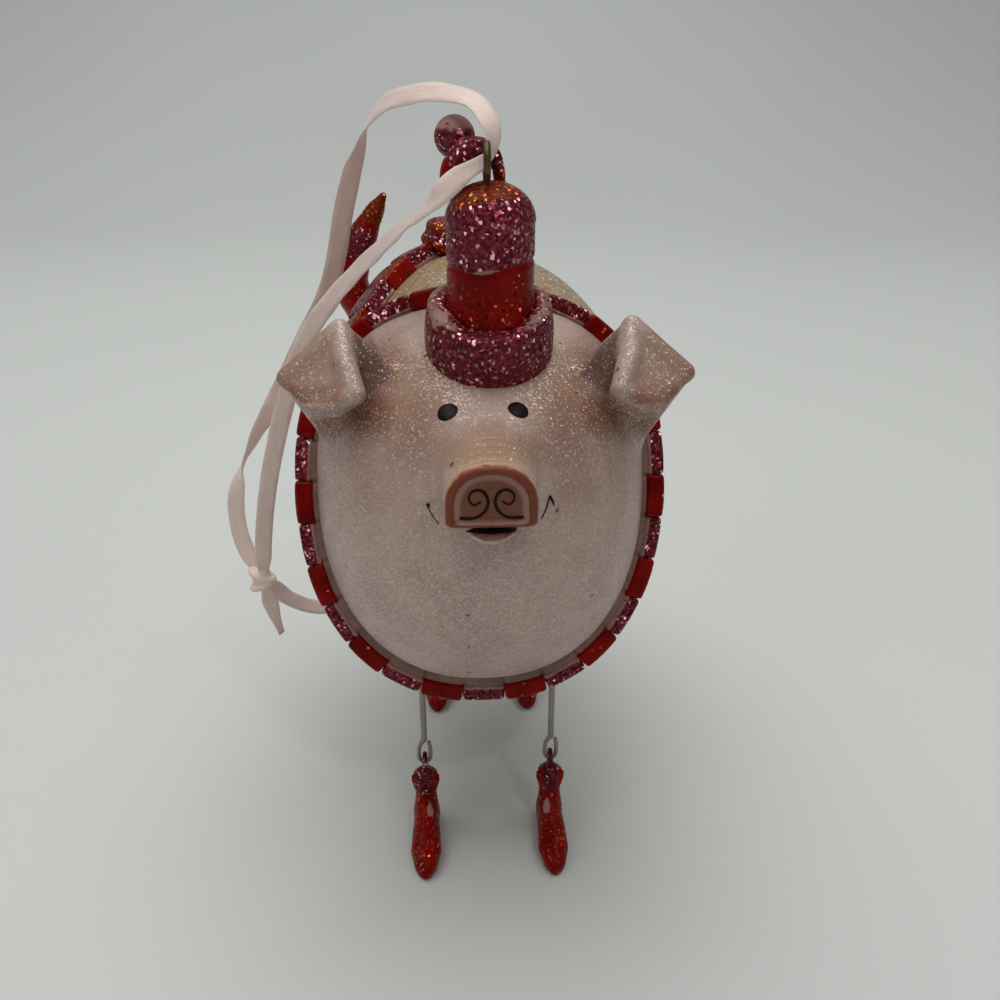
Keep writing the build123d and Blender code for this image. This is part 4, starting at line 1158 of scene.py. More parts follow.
class ORNAMENT_OT_face_paint(bpy.types.Operator):
    """Paint the eyes, the nostril curls and the corners of the mouth"""
    bl_idname = "ornament.face_paint"
    bl_label = "Painted marks"

    def execute(self, context):
        sizes = context.scene.ornament_sizes
        black = finish("black_marks")
        for side, pixel in zip(("right", "left"), EYE_PIXELS):
            place = seen_place(pixel, head_distance)

            def bead(points, place=place):
                spread = np.linalg.norm(points - place, axis=1) / sizes.eye_radius
                dome = head_distance(points) - 0.22 + 0.16 * spread ** 2
                return blend_cut(dome, np.linalg.norm(points - place, axis=1) - sizes.eye_radius, 0.12)
            points, faces = skin_mesh(bead, place - 1.8, place + 1.8, sizes.paint_step)
            make_piece("eye_" + side, points, faces, black, BODY, ())
        curl = smooth_route(NOSTRIL_CURL, 56)
        weight = np.linspace(0.0, 1.0, 56)
        for side, sign in (("right", 1.0), ("left", -1.0)):
            line = np.stack((SNOUT_SHIFT + sign * curl[:, 0], np.full(56, SNOUT_FRONT + 0.48), curl[:, 1]),
                            -1)
            points, faces = tube_mesh(line, 0.11 + 0.06 * soft_step(weight, 0.1, 0.5), 10)
            make_piece("nostril_" + side, points, faces, black, BODY, ())
        # The mouth slit is a thin black sheet standing in for the shade inside the slit between snout and lip
        self.mouth("mouth_slit", SLIT_OUTLINE, 0.05, black, {})
        self.mouth("lower_lip", LIP_OUTLINE, 0.09, finish("snout_front"), {"ring": 0.66})
        for index, (pixels, width) in enumerate(zip(SMILE_PIXELS, SMILE_WIDTHS)):
            places = np.stack([seen_place(pixel, head_distance) for pixel in pixels])
            line = smooth_route(places, 14) if len(places) > 2 else np.linspace(places[0], places[1], 6)
            line = line - field_slope(head_distance, line) * head_distance(line)[:, None]
            taper = width * (0.45 + 0.55 * np.cos(np.linspace(0.0, 1.35, len(line))))
            points, faces = tube_mesh(line, taper, 8)
            make_piece("smile_%d" % (index + 1), points, faces, black, BODY, ())
        return {"FINISHED"}

    @staticmethod
    def mouth(name, outline, proud, material, masks):
        """A thin painted patch inside an outline of the photograph's pixels, on what the lens sees of the head."""
        pixels_per_mm = 8.6
        aim = np.array(photo_ray(np.mean(outline, axis=0)), float)
        toward_lens = -aim / np.linalg.norm(aim)

        def patch(points):
            skin = head_distance(points)
            gap = outline_gap(photo_pixels(points), outline) / pixels_per_mm
            hidden = -np.min([head_distance(points + away * toward_lens) for away in HIDDEN_STEPS], axis=0)
            return np.maximum(blend_cut(np.maximum(skin - proud, -0.35 - skin), gap, 0.06), hidden)
        points, faces = skin_mesh(patch, (-5.0, -50.2, 66.5), (5.5, -44.0, 73.2), 0.12)
        masks = {label: np.full(len(points), value) for label, value in masks.items()}
        make_piece(name, points, faces, material, BODY, (), masks)


class ORNAMENT_OT_rump(bpy.types.Operator):
    """Model the cast rear of the body with its brushed tan back"""
    bl_idname = "ornament.rump"
    bl_label = "Rump"

    def execute(self, context):
        step = context.scene.ornament_sizes.rump_step

        def rear(points):
            _, depth, _ = collar_frame(points)
            return np.maximum(rump_distance(points), -0.2 - depth)
        points, faces = skin_mesh(rear, (-27.5, -25.5, 26.0), (27.5, 47.5, 92.0), step)
        crest = soft_step(points[:, 2] + 0.15 * points[:, 1], 66.0, 84.0)
        make_piece("rump", points, faces, finish("brushed_back"), BODY, ("rump_shell",),
                   {"crest": crest})
        return {"FINISHED"}


def collar_outline(turn, shrink=0.0):
    """Points of the collar's outline at angles from its right side, in its own plane."""
    across, up = np.cos(turn), np.sin(turn)
    gauge, _, _ = outline_gauge(across, up, COLLAR_SIDE - shrink, COLLAR_TOP - shrink, COLLAR_BOTTOM - shrink,
                                COLLAR_FULLNESS)
    return across / gauge, up / gauge


def block_shape(name, material, length, width, height, reach, weights):
    """One raised block, longer along its band, as an object to repeat: X along, Y across, Z out."""
    half = np.array((length / 2, width / 2, height / 2))

    def pillow(points):
        near_end = np.clip(np.abs(points[:, 0]) / half[0], 0.0, 1.0)
        bulge = length ** 2 / (8.0 * BAND_CURVE) * (1.0 - near_end ** 2)
        lifted = points - np.stack((np.zeros(len(points)), np.zeros(len(points)), bulge), -1)
        offset = np.abs(lifted - (0.0, -reach / 2, 0.0)) - (half + (0.0, reach / 2, 0.0) - BLOCK_EDGE)
        return np.linalg.norm(np.maximum(offset, 0.0), axis=1) + np.minimum(offset.max(1), 0.0) - BLOCK_EDGE
    points, faces = skin_mesh(pillow, -half - 1.2 - (0.0, reach, 0.0), half + 1.2, 0.3)
    mesh = bpy.data.meshes.new(name)
    mesh.from_pydata((points * MM).tolist(), [], faces.tolist())
    mesh.polygons.foreach_set("use_smooth", np.ones(len(mesh.polygons), bool))
    layer = mesh.attributes.new("paint", "FLOAT_COLOR", "POINT")
    layer.data.foreach_set("color", weights(points / half).ravel())
    mesh.materials.append(material)
    obj = bpy.data.objects.new(name, mesh)
    bpy.context.scene.collection.objects.link(obj)
    return obj


def red_block(place):
    """Smooth red lacquer in front, orange glitter outside and behind."""
    outside = soft_step(place[:, 2] + 0.35 * place[:, 1], 0.3, 0.7)
    return coat(place, red=1.0 - outside, orange=1.0, gloss=1.0 - outside)


def magenta_block(place):
    """Magenta glitter outside, bare cast where the front is rubbed."""
    front = soft_step(-place[:, 1], 0.72, 0.98) * soft_step(-0.2 - place[:, 2], 0.0, 0.4)
    return coat(place, magenta=1.0 - front)


def block_tree():
    """Geometry nodes that repeat two kinds of block in turn along a line that says which way is out."""
    tree = bpy.data.node_groups.new("Alternating blocks", "GeometryNodeTree")
    for label, kind in (("Line", "NodeSocketGeometry"), ("Count", "NodeSocketInt"),
                        ("First kind", "NodeSocketObject"),
                        ("Second kind", "NodeSocketObject"), ("Start with", "NodeSocketInt"),
                        ("Finish", "NodeSocketMaterial")):
        tree.interface.new_socket(name=label, in_out="INPUT", socket_type=kind)
    tree.interface.new_socket(name="Blocks", in_out="OUTPUT", socket_type="NodeSocketGeometry")

    def add(kind, **settings):
        node = tree.nodes.new(kind)
        for label, value in settings.items():
            setattr(node, label, value)
        return node
    link = tree.links.new
    given, made = add("NodeGroupInput").outputs, add("NodeGroupOutput").inputs
    curve = add("GeometryNodeMeshToCurve")
    link(given["Line"], curve.inputs[0])
    spaced = add("GeometryNodeResampleCurve", mode="COUNT")
    link(curve.outputs[0], spaced.inputs["Curve"])
    link(given["Count"], spaced.inputs["Count"])
    kinds = add("GeometryNodeJoinGeometry")
    for label in ("Second kind", "First kind"):
        info = add("GeometryNodeObjectInfo", transform_space="ORIGINAL")
        info.inputs["As Instance"].default_value = True
        link(given[label], info.inputs["Object"])
        link(info.outputs["Geometry"], kinds.inputs[0])
    number = add("GeometryNodeInputIndex")
    shifted = add("ShaderNodeMath", operation="ADD")
    link(number.outputs[0], shifted.inputs[0])
    link(given["Start with"], shifted.inputs[1])
    turn = add("ShaderNodeMath", operation="MODULO")
    link(shifted.outputs[0], turn.inputs[0])
    turn.inputs[1].default_value = 2.0
    out = add("GeometryNodeInputNamedAttribute", data_type="FLOAT_VECTOR")
    out.inputs["Name"].default_value = "outward"
    upright = add("FunctionNodeAlignRotationToVector", axis="Z")
    link(out.outputs["Attribute"], upright.inputs["Vector"])
    along = add("GeometryNodeInputTangent")
    turned = add("FunctionNodeAlignRotationToVector", axis="X", pivot_axis="Z")
    link(upright.outputs[0], turned.inputs["Rotation"])
    link(along.outputs[0], turned.inputs["Vector"])
    placed = add("GeometryNodeInstanceOnPoints")
    link(spaced.outputs[0], placed.inputs["Points"])
    link(kinds.outputs[0], placed.inputs["Instance"])
    placed.inputs["Pick Instance"].default_value = True
    link(turn.outputs[0], placed.inputs["Instance Index"])
    link(turned.outputs[0], placed.inputs["Rotation"])
    solid = add("GeometryNodeRealizeInstances")
    link(placed.outputs[0], solid.inputs[0])
    dressed = add("GeometryNodeSetMaterial")
    link(solid.outputs[0], dressed.inputs["Geometry"])
    link(given["Finish"], dressed.inputs["Material"])
    link(dressed.outputs[0], made[0])
    return tree


def repeat_blocks(name, line, outward, closed, count, kinds, start, nodes):
    """Blocks along a line in millimetres, made with the block tree and turned into a plain mesh."""
    mesh = bpy.data.meshes.new(name)
    edges = [(i, i + 1) for i in range(len(line) - 1)] + ([(len(line) - 1, 0)] if closed else [])
    mesh.from_pydata((line * MM).tolist(), edges, [])
    layer = mesh.attributes.new("outward", "FLOAT_VECTOR", "POINT")
    layer.data.foreach_set("vector", outward.ravel())
    holder = bpy.data.objects.new(name + "_line", mesh)
    bpy.context.scene.collection.objects.link(holder)
    tree = bpy.data.node_groups.get("Alternating blocks") or block_tree()
    modifier = holder.modifiers.new("Blocks", "NODES")
    modifier.node_group = tree
    values = {"Count": count, "First kind": kinds[0], "Second kind": kinds[1], "Start with": start,
              "Finish": finish("band_glitter")}
    for item in tree.interface.items_tree:
        if item.in_out == "INPUT" and item.name in values:
            modifier[item.identifier] = values[item.name]
    holder.data.update()
    bpy.context.view_layer.update()
    made = bpy.data.meshes.new_from_object(holder.evaluated_get(bpy.context.evaluated_depsgraph_get()))
    made.name = name
    obj = bpy.data.objects.new(name, made)
    bpy.context.scene.collection.objects.link(obj)
    holder.modifiers.remove(modifier)
    bpy.data.objects.remove(holder)
    for kind in kinds:
        bpy.data.objects.remove(kind)
    if len(made.vertices) == 0:
        raise RuntimeError(name + " has no blocks")
    return settle_piece(obj, BODY, nodes)


class ORNAMENT_OT_collar(bpy.types.Operator):
    """Model the collar ring and repeat its raised blocks round it"""
    bl_idname = "ornament.collar"
    bl_label = "Collar"

    def execute(self, context):
        sizes = context.scene.ornament_sizes
        first = math.radians(COLLAR_FIRST_BLOCK)
        turns = first - np.linspace(0.0, 2.0 * math.pi, 720, endpoint=False)
        across, up = collar_outline(turns, COLLAR_BLOCK_INSET)
        line = from_collar_frame(across, np.full(len(turns), 0.25), up)
        ahead = np.roll(line, -1, axis=0) - np.roll(line, 1, axis=0)
        axis = from_collar_frame(np.zeros(1), np.ones(1), np.zeros(1))[0] - COLLAR_CENTRE
        outward = np.cross(ahead, axis)
        outward = outward / np.linalg.norm(outward, axis=1)[:, None]
        outward = outward * np.sign((outward * (line - COLLAR_CENTRE)).sum(1))[:, None]
        around = np.linalg.norm(np.diff(np.vstack((line, line[:1])), axis=0), axis=1).sum()
        length = around / sizes.blocks - sizes.block_gap
        paint = finish("band_glitter")
        kinds = (block_shape("red_kind", paint, length, 5.0, 2.6, 0.6, red_block),
                 block_shape("magenta_kind", paint, length, 5.0, 2.4, 0.45, magenta_block))
        repeat_blocks("collar_blocks", line, outward, True, sizes.blocks, kinds, 1, ())
        self.ring(sizes)
        return {"FINISHED"}

    @staticmethod
    def ring(sizes):
        """The cast ring under the blocks, with its bare front wall, the seams between blocks, and painted shade
        that darkens the wall toward the crease at the face.
        """
        steps = 720
        turns = math.radians(COLLAR_FIRST_BLOCK) - np.linspace(0.0, 2.0 * math.pi, steps, endpoint=False)
        path = np.stack(collar_outline(turns, COLLAR_BLOCK_INSET), -1)
        gaps = np.linalg.norm(np.roll(path, -1, axis=0) - path, axis=1)
        along = (np.cumsum(gaps) - gaps) / gaps.sum() * sizes.blocks
        between = np.abs((along % 1.0) - 0.5)
        seam = 1.0 - soft_step(between, 0.03, 0.075)
        section = ((7.2, -0.2), (7.2, -1.7), (5.4, -2.3), (4.2, -2.45), (3.0, -2.5), (1.5, -2.5), (0.9, -2.2),
                   (0.75, 0.0), (0.9, 2.2), (1.5, 2.5), (5.0, 2.4), (7.2, 1.8))
        # Painted shade for each row of the section, darkest at the crease where the ring meets the face
        wall = (1.0, 1.0, 0.85, 0.55, 0.35, 0.2, 0.0, 0.0, 0.0, 0.2, 0.8, 1.0)
        points, shade = [], []
        for (inset, depth), dark in zip(section, wall):
            across, up = collar_outline(turns, inset)
            sunk = depth + (0.3 * seam if depth < -2.2 else 0.0)
            points.append(from_collar_frame(across, np.full(steps, 1.0) * sunk, up))
            # The mask holds the painted shade and the dark seams between blocks
            shade.append(np.maximum(dark, 0.4 * seam))
        points, shade = np.concatenate(points), np.concatenate(shade)
        faces = []
        count = len(section)
        for row in range(count):
            following = (row + 1) % count
            for step in range(steps):
                after = (step + 1) % steps
                faces.append((row * steps + step, row * steps + after, following * steps + after,
                              following * steps + step))
        obj = make_piece("collar_ring", points, faces, finish("collar_wall"), BODY, ("collar",),
                         {"wall": shade})
        face_outward(obj)


class ORNAMENT_OT_back_band(bpy.types.Operator):
    """Repeat the blocks of the band over the back and model the lump at its end"""
    bl_idname = "ornament.back_band"
    bl_label = "Back band"

    def execute(self, context):
        sizes = context.scene.ornament_sizes
        drop = np.cross(BAND_NORMAL, BAND_ALONG)
        drop = drop / np.linalg.norm(drop)
        drop = drop * (1.0 if drop[2] > 0.0 else -1.0)
        steps = np.linspace(-0.5 * BAND_LENGTH + 2.5, 0.5 * BAND_LENGTH - 4.0, 80)
        line = BAND_MIDDLE + steps[:, None] * BAND_ALONG
        for _ in range(30):
            line = line - drop * (rump_distance(line) * 0.7)[:, None]
        line = line[collar_frame(line)[1] > 5.0]
        outward = field_slope(rump_distance, line)
        outward = outward / np.linalg.norm(outward, axis=1)[:, None]
        line = line + outward * 1.1
        span = np.linalg.norm(np.diff(line, axis=0), axis=1).sum()
        length = span / (sizes.band_blocks - 1) - sizes.block_gap
        paint = finish("band_glitter")
        kinds = (block_shape("red_kind", paint, length, BAND_WIDTH, 2.9, 0.0, red_block),
                 block_shape("magenta_kind", paint, length, BAND_WIDTH, 3.0, 0.0, magenta_block))
        repeat_blocks("back_band_blocks", line, outward, False, sizes.band_blocks, kinds, 1, ("back_band",))

        def lump(points):
            turned = (points[:, 2] - KNOT_CENTRE[2]) + 0.3 * points[:, 0]
            return egg_distance(points, KNOT_CENTRE, KNOT_RADII) - 0.22 * np.sin(turned * 2.1)
        points, faces = skin_mesh(lump, KNOT_CENTRE - KNOT_RADII - 1.0, KNOT_CENTRE + KNOT_RADII + 1.0,
                                  sizes.fine_step)
        wave = np.sin(((points[:, 2] - KNOT_CENTRE[2]) + 0.3 * points[:, 0]) * 2.1)
        make_piece("back_lump", points, faces, paint, BODY, ("band_knot",),
                   {"paint": coat(points, magenta=soft_step(-wave, -0.1, 0.2), orange=1.0)})
        return {"FINISHED"}


def hat_frame(points):
    """Points in the leaning hat's own frame: across, forward negative, up its axis."""
    offset = points - HAT_BASE
    turn, lift = math.cos(HAT_LEAN), math.sin(HAT_LEAN)
    return offset[:, 0], offset[:, 1] * turn + offset[:, 2] * lift, offset[:, 2] * turn - offset[:, 1] * lift


def cuff_distance(points):
    across, depth, up = hat_frame(points)
    radius = np.sqrt(across ** 2 + depth ** 2)
    swell = CUFF_RADIUS - CUFF_TAPER * np.clip(up / CUFF_HEIGHT, -0.6, 1.0)
    swell = swell + 0.35 * np.sin(np.clip((up + 0.5) / CUFF_HEIGHT, 0.0, 1.0) * math.pi)
    angle = np.arctan2(depth, across)
    rim = CUFF_HEIGHT - 0.9 + 0.5 * np.cos(angle * 2.0) + 0.12 * np.sin(angle * 7.0)
    outer = blend_cut(radius - swell, up - rim, 0.9)
    outer = blend_cut(outer, -CUFF_SINK - up, 0.8)
    return blend_cut(outer, 0.06 - crown_distance(points), 0.25)


def crown_axis(up):
    return np.interp(up, CROWN_AXIS[:, 1], CROWN_AXIS[:, 0])


def crown_line(across):
    """Height of the seam between the crown's red and magenta parts, sagging left of its middle."""
    return 97.6 + 0.06 * across - 0.75 * np.exp(-((across + 1.2) / 2.3) ** 2)


def crown_distance(points):
    across, up = points[:, 0] - CROWN_SHIFT, points[:, 2]
    depth = points[:, 1] - crown_axis(up)
    flare = 0.9 * soft_step(94.5 - up, 0.0, 6.0)
    seam = 0.22 * np.exp(-((up - crown_line(across)) / 0.35) ** 2)
    side = np.sqrt(across ** 2 + depth ** 2) - (CROWN_RADIUS + flare - seam - 0.1)
    shoulder = 4.6
    over = np.maximum(up - CROWN_TOP + shoulder, 0.0) * CROWN_RADIUS / shoulder
    cap = np.sqrt(across ** 2 + depth ** 2 + over ** 2) - CROWN_RADIUS
    body = np.where(over > 0.0, cap, side)
    return np.maximum(body, 84.5 - up)


class ORNAMENT_OT_hat(bpy.types.Operator):
    """Model the glittered hat: cuff, banded crown, curled point and bead"""
    bl_idname = "ornament.hat"
    bl_label = "Hat"

    def execute(self, context):
        step = context.scene.ornament_sizes.fine_step
        paint = finish("hat_glitter")
        points, faces = skin_mesh(cuff_distance, HAT_BASE - 11.0, HAT_BASE + 11.0, step)
        across, depth, up = hat_frame(points)
        radius = np.sqrt(across ** 2 + depth ** 2)
        angle = np.degrees(np.arctan2(across, -depth))
        rim = soft_step(up, CUFF_HEIGHT - 1.7, CUFF_HEIGHT - 1.0) * soft_step(radius, 6.0, 6.6)
        notch = np.exp(-((angle + 62.0) / 5.0) ** 2 - ((up - 6.9) / 1.2) ** 2)
        make_piece("hat_turned_cuff", points, faces, paint, BODY, ("hat_cuff",),
                   {"paint": coat(points, magenta=1.0 - np.clip(0.52 * rim + 1.2 * notch, 0.0, 1.0))})
        points, faces = skin_mesh(crown_distance, (-6.4, -34.8, 84.0), (7.2, -17.5, 108.2), step)
        across, up = points[:, 0] - CROWN_SHIFT, points[:, 2]
        over = up - crown_line(across)
        arch = up + 0.03 * across ** 2 - 0.15 * across
        magenta = soft_step(over, -0.1, 0.3) * soft_step(-arch, -105.5, -105.0)
        patch = np.exp(-((across + 0.9) / 1.5) ** 4 - ((over - 0.3) / 0.6) ** 2) * (points[:, 1] < -28.0)
        magenta = np.clip(magenta - 0.7 * patch, 0.0, 1.0)
        red = soft_step(-over, -0.25, 0.05)
        orange = soft_step(arch, 105.0, 105.5)
        smooth = red * soft_step(over, -3.6, -1.2) * 0.95
        make_piece("hat_tall_crown", points, faces, paint, BODY, ("hat_crown",),
                   {"paint": coat(points, magenta, red, orange, smooth)})
        self.curl(paint, step)
        return {"FINISHED"}

    @staticmethod
    def curl(paint, step):
        route = smooth_route(CURL_ROUTE, 40)
        radii = np.interp(np.linspace(0.0, 1.0, 40), np.linspace(0.0, 1.0, len(CURL_RADII)), CURL_RADII)

        def tube(points):
            return rod_distance(points, route, radii)[0]
        points, faces = skin_mesh(tube, route.min(0) - 3.0, route.max(0) + 3.0, step)
        _, along = rod_distance(points, route, radii)
        wave = soft_step(along, 0.24, 0.28) * soft_step(-along, -0.8, -0.76)
        make_piece("hat_curled_point", points, faces, paint, BODY, ("hat_curl",),
                   {"paint": coat(points, magenta=wave, red=soft_step(along, 0.74, 0.8), orange=1.0,
                                  gloss=0.7 * soft_step(along, 0.76, 0.86))})

        def bead(points):
            return egg_distance(points, BALL_CENTRE, np.array((1.0, 1.0, 1.04)) * BALL_RADIUS)
        points, faces = skin_mesh(bead, BALL_CENTRE - 3.2, BALL_CENTRE + 3.2, step)
        # The bead is painted paler toward its top, a painted sheen on the pearly bead
        top = soft_step(points[:, 2], BALL_CENTRE[2] + 0.6, BALL_CENTRE[2] + 2.0)
        make_piece("hat_bead", points, faces, paint, BODY, ("hat_ball",),
                   {"paint": coat(points, magenta=0.58 - 0.3 * top, orange=0.2, gloss=0.2)})


class ORNAMENT_OT_tail(bpy.types.Operator):
    """Model the striped tail"""
    bl_idname = "ornament.tail"
    bl_label = "Tail"

    def execute(self, context):
        route = smooth_route(TAIL_ROUTE, 60)
        radii = np.interp(np.linspace(0.0, 1.0, 60), np.linspace(0.0, 1.0, len(TAIL_RADII)), TAIL_RADII)

        def tube(points):
            gap, along = rod_distance(points, route, radii)
            return gap + 0.12 * np.cos(along * 2.0 * math.pi * 9.0)
        points, faces = skin_mesh(tube, route.min(0) - 4.5, route.max(0) + 4.5, 0.4)
        _, along = rod_distance(points, route, radii)
        turn = along * 9.0
        kind = np.floor(turn).astype(int)
        magenta = np.where(kind % 3 == 1, 0.6, 0.0)
        tip = soft_step(along, 0.86, 0.93)
        make_piece("striped_tail", points, faces, finish("band_glitter"), BODY, ("tail",),
                   {"paint": coat(points, magenta=magenta * (1.0 - tip), red=(1.0 - tip), orange=1.0,
                                  gloss=0.35)})
        return {"FINISHED"}


class ORNAMENT_OT_wires(bpy.types.Operator):
    """Finish the wire staples and the hanging eye, and bend the legs"""
    bl_idname = "ornament.wires"
    bl_label = "Wires"

    def execute(self, context):
        steel, bronze = finish("leg_steel"), finish("eye_bronze")
        for corner in CORNERS:
            self.dress("belly_eye_" + corner, steel)
        self.dress("hanger_eye", bronze)
        for corner in CORNERS:
            x, y, hip = LEGS[corner]
            points, faces = tube_mesh(*self.leg_line(hip), 12)
            make_piece("bent_leg_" + corner, points + (x, y, 0.0), faces, steel, "leg_" + corner,
                       ("leg_wire_" + corner,))
        return {"FINISHED"}

    @staticmethod
    def leg_line(hip):
        """One leg's wire: a ring round the staple, a straight shank, and a long loop in the boot's eye."""
        turn = np.linspace(math.radians(325.0), 0.0, 36)
        ring = np.stack((np.zeros(36), LEG_RING * np.sin(turn), hip - LEG_RING * np.cos(turn)), -1)
        shank = np.linspace((0.0, 0.0, hip - LEG_RING - 0.6), (0.0, 0.0, LEG_LOOP[0][1] + 0.6), 24)
        loop = smooth_route([(across, 0.0, up) for across, up in LEG_LOOP], 60)
        line = np.concatenate((ring, shank, loop))
        radii = np.concatenate((np.full(60, 0.5), np.linspace(0.48, 0.34, 8), np.full(52, 0.34)))
        return line, radii

    @staticmethod
    def dress(node, material):
        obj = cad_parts[node]
        obj.data.materials.clear()
        obj.data.materials.append(material)


def boot_distance(points):
    """One boot about its own ankle line, toe towards -Y, sole at zero."""
    order = np.argsort(FOOT_RINGS[:, 0])
    rings = FOOT_RINGS[order]
    centre = np.interp(points[:, 1], rings[:, 0], rings[:, 1])
    side = np.interp(points[:, 1], rings[:, 0], rings[:, 2])
    rise = np.interp(points[:, 1], rings[:, 0], rings[:, 3])
    reach = np.sqrt((points[:, 0] / side) ** 2 + ((points[:, 2] - centre) / rise) ** 2)
    foot = (reach - 1.0) * np.minimum(side, rise)
    beyond = np.maximum(rings[0, 0] - points[:, 1], points[:, 1] - rings[-1, 0])
    foot = blend_cut(foot, beyond, 0.8)
    waist = np.interp(points[:, 2], SHAFT_RINGS[:, 0], SHAFT_RINGS[:, 1])
    shaft = np.sqrt(points[:, 0] ** 2 + points[:, 1] ** 2) - waist
    shaft = blend_cut(shaft, points[:, 2] - SHAFT_RINGS[-1, 0], 0.4)
    body = blend_union(foot, shaft, 1.2)
    mirrored = points.copy()
    mirrored[:, 0] = np.abs(mirrored[:, 0])
    flare = rod_distance(mirrored, np.array(((1.2, -0.4, 8.6), (1.75, -0.5, 10.0), (2.15, -0.6, 11.0))),
                         (0.8, 0.6, 0.16))[0]
    body = blend_union(body, flare, 0.4)
    return blend_cut(body, -points[:, 2], 0.25)


def tongue_distance(points):
    """The eye that stands up from a boot's top, about the boot's own ankle line."""
    around = np.sqrt(points[:, 1] ** 2 + (points[:, 2] - ANKLE_Z) ** 2) - BOOT_EYE
    eye = np.sqrt(around ** 2 + points[:, 0] ** 2) - 0.4
    stem = rod_distance(points, np.array(((0.0, 0.0, 10.9), (0.0, 0.0, ANKLE_Z - BOOT_EYE))), (1.0, 0.5))[0]
    return blend_union(eye, stem, 0.5)


class ORNAMENT_OT_boots(bpy.types.Operator):
    """Model the four boots with their flared tops"""
    bl_idname = "ornament.boots"
    bl_label = "Boots"

    def execute(self, context):
        points, faces = skin_mesh(boot_distance, (-3.6, -14.4, -0.4), (3.6, 3.4, 13.0), 0.24)
        points[:, 2] = np.maximum(points[:, 2], 0.0)
        for corner in CORNERS:
            x, y, _ = LEGS[corner]
            sign = 1.0 if "left" in corner else -1.0
            near_middle = soft_step(1.6 - np.abs(points[:, 0]), 0.0, 0.5)
            tongue = soft_step(points[:, 2] - 0.35 * points[:, 1], 7.6, 8.8) * near_middle
            worn = np.exp(-((points[:, 0] + sign * 0.7) / 0.6) ** 2 - ((points[:, 1] + 3.0) / 1.2) ** 2)
            worn = worn * soft_step(points[:, 2], 3.5, 4.5)
            gold = soft_step(sign * points[:, 0] - 0.12 * (points[:, 1] + 6.0), -0.6, 0.9)
            weights = coat(points, magenta=np.clip(tongue - worn, 0.0, 1.0),
                           red=np.clip(1.0 - 1.2 * worn - 0.45 * gold, 0.0, 1.0),
                           orange=np.clip(1.0 - 1.2 * worn, 0.0, 1.0), gloss=0.15)
            make_piece("painted_boot_" + corner, points + (x, y, 0.0), faces, finish("boot_glitter"),
                       "foot_" + corner,
                       ("boot_" + corner,), {"paint": weights})
        points, faces = skin_mesh(tongue_distance, (-1.4, -2.4, 10.4), (1.4, 2.4, 15.8), 0.17)
        for corner in CORNERS:
            x, y, _ = LEGS[corner]
            make_piece("boot_tongue_" + corner, points + (x, y, 0.0), faces, finish("boot_glitter"),
                       "foot_" + corner,
                       ("boot_eye_" + corner,), {"paint": coat(points, magenta=1.0, gloss=0.3)})
        return {"FINISHED"}


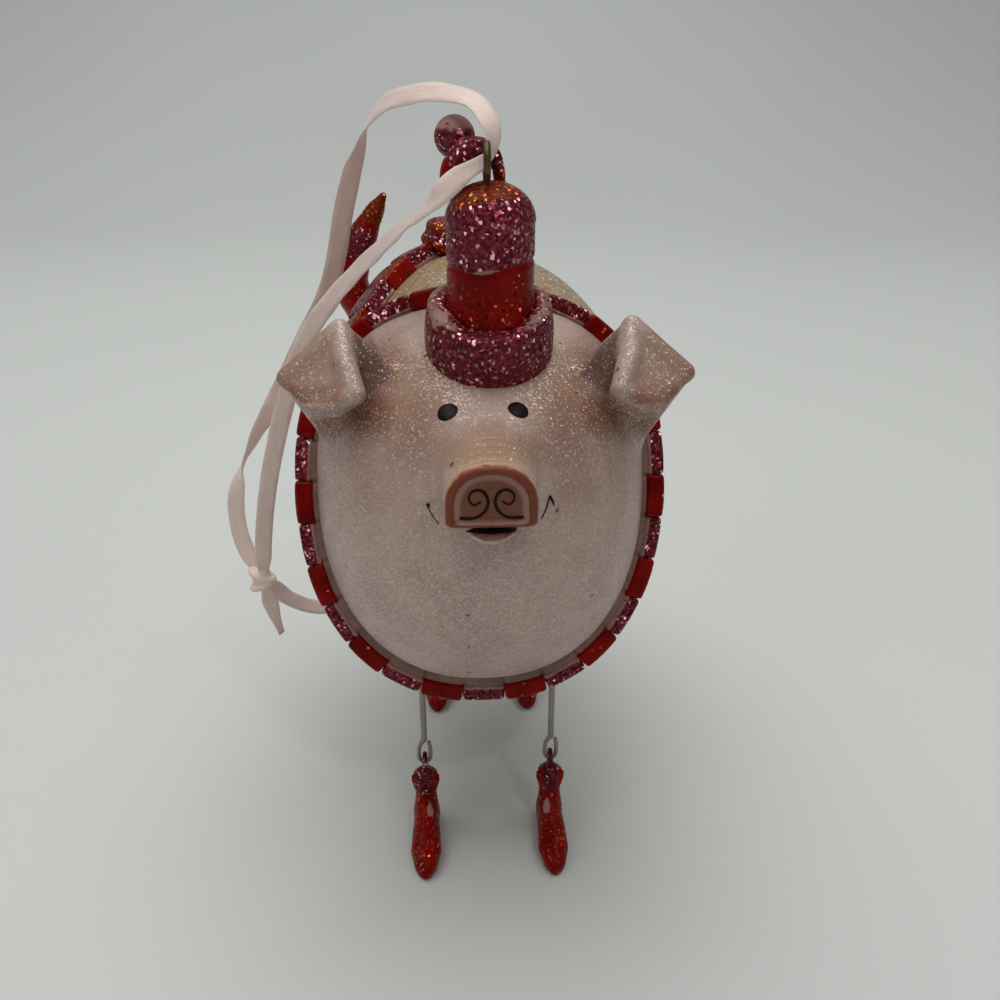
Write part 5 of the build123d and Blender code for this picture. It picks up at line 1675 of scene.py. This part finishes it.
class ORNAMENT_OT_stage(bpy.types.Operator):
    """Set the pale seamless floor, the soft light and the camera"""
    bl_idname = "ornament.stage"
    bl_label = "Stage"

    def execute(self, context):
        settings = context.scene.ornament_stage
        self.floor(settings)
        scene = context.scene
        world = bpy.data.worlds.new("soft_room")
        world.use_nodes = True
        tree = ShaderTree(world.node_tree)
        sky = world.node_tree.nodes["Background"].inputs
        sky["Strength"].default_value = settings.sky
        height = tree.sky_height()
        tree.put(sky["Color"],
                 tree.mix(tree.step(height, -0.2, 0.9), from_srgb(150, 153, 152), from_srgb(244, 246, 246)))
        scene.world = world
        scene.view_settings.view_transform = "Standard"
        self.light("overhead", (-0.06, 0.12, 0.9), (0.0, 0.05, 0.05), settings.overhead, 0.95,
                   (1.0, 0.995, 0.97))
        self.light("window", (-0.75, -0.55, 0.6), (0.0, 0.0, 0.06), settings.overhead * 0.1, 0.5,
                   (0.96, 0.98, 1.0))
        self.light("sparkle", (0.25, -0.6, 0.8), (0.0, -0.02, 0.08), settings.overhead * 0.08, 0.05,
                   (1.0, 0.98, 0.95))
        lens = bpy.data.cameras.new("photo_camera")
        lens.lens = CAMERA_LENS
        lens.sensor_width = 36.0
        lens.clip_start = 0.01
        lens.clip_end = 20.0
        camera = bpy.data.objects.new("photo_camera", lens)
        scene.collection.objects.link(camera)
        camera.location = Vector(CAMERA_PLACE * MM)
        camera_aim = Vector(photo_ray((PHOTO_SIDE / 2, PHOTO_SIDE / 2)))
        camera.rotation_euler = camera_aim.to_track_quat("-Z", "Y").to_euler()
        scene.camera = camera
        return {"FINISHED"}

    @staticmethod
    def light(name, place, target, power, size, colour):
        lamp = bpy.data.lights.new(name, "AREA")
        lamp.energy = power
        lamp.size = size
        lamp.color = colour
        obj = bpy.data.objects.new(name, lamp)
        obj.location = place
        obj.rotation_euler = (Vector(target) - Vector(place)).to_track_quat("-Z", "Y").to_euler()
        bpy.context.scene.collection.objects.link(obj)

    @staticmethod
    def floor(settings):
        """A floor that turns up into a backdrop behind the object."""
        profile = [(-1.6, 0.0), (0.55, 0.0)]
        for turn in np.linspace(0.0, math.pi / 2, 24)[1:]:
            profile.append((0.55 + 0.55 * math.sin(turn), 0.55 - 0.55 * math.cos(turn)))
        profile.append((1.1, 2.6))
        points = [(x, y, z) for y, z in profile for x in (-2.4, 2.4)]
        faces = [(2 * i, 2 * i + 1, 2 * i + 3, 2 * i + 2) for i in range(len(profile) - 1)]
        mesh = bpy.data.meshes.new("seamless_floor")
        mesh.from_pydata(points, [], faces)
        mesh.polygons.foreach_set("use_smooth", np.ones(len(mesh.polygons), bool))
        material, tree, shader = new_material("pale_card")
        grain = tree.noise(tree.place(), 900.0, 3.0)
        broad = tree.noise(tree.place(), 2.2, 2.0)
        tone = tree.mix(tree.step(broad, 0.3, 0.75), tuple(settings.floor_tone), from_srgb(204, 207, 205))
        tree.put(shader["Base Color"],
                 tree.mix(tree.math("MULTIPLY", grain, 0.06), tone, from_srgb(170, 172, 170)))
        shader["Roughness"].default_value = 0.6
        tree.put(shader["Normal"], bump(tree, grain, 0.04, 0.0002))
        mesh.materials.append(material)
        obj = bpy.data.objects.new("seamless_floor", mesh)
        bpy.context.scene.collection.objects.link(obj)


OPERATORS = (ORNAMENT_OT_stage, ORNAMENT_OT_ribbon, ORNAMENT_OT_head, ORNAMENT_OT_snout,
             ORNAMENT_OT_face_paint,
             ORNAMENT_OT_rump, ORNAMENT_OT_collar, ORNAMENT_OT_back_band, ORNAMENT_OT_hat, ORNAMENT_OT_tail,
             ORNAMENT_OT_wires, ORNAMENT_OT_boots)


class ORNAMENT_PT_pieces(bpy.types.Panel):
    """The pieces of the ornament, in the order they are made"""
    bl_idname = "ORNAMENT_PT_pieces"
    bl_label = "Pig ornament"
    bl_space_type = "VIEW_3D"
    bl_region_type = "UI"
    bl_category = "Ornament"

    def draw(self, context):
        for operator in OPERATORS:
            self.layout.operator(operator.bl_idname, text=operator.bl_label)


GROUPS = {"ornament_sizes": OrnamentSizes, "ornament_paint": OrnamentPaint, "ornament_stage": OrnamentStage}


def register():
    for label, group in GROUPS.items():
        bpy.utils.register_class(group)
        setattr(bpy.types.Scene, label, bpy.props.PointerProperty(type=group))
    for operator in OPERATORS:
        bpy.utils.register_class(operator)
    bpy.utils.register_class(ORNAMENT_PT_pieces)


def unregister():
    bpy.utils.unregister_class(ORNAMENT_PT_pieces)
    for operator in reversed(OPERATORS):
        bpy.utils.unregister_class(operator)
    for label, group in GROUPS.items():
        delattr(bpy.types.Scene, label)
        bpy.utils.unregister_class(group)


def main():
    register()
    for operator in OPERATORS:
        family, name = operator.bl_idname.split(".")
        getattr(getattr(bpy.ops, family), name)()


if __name__ == "__main__":
    main()
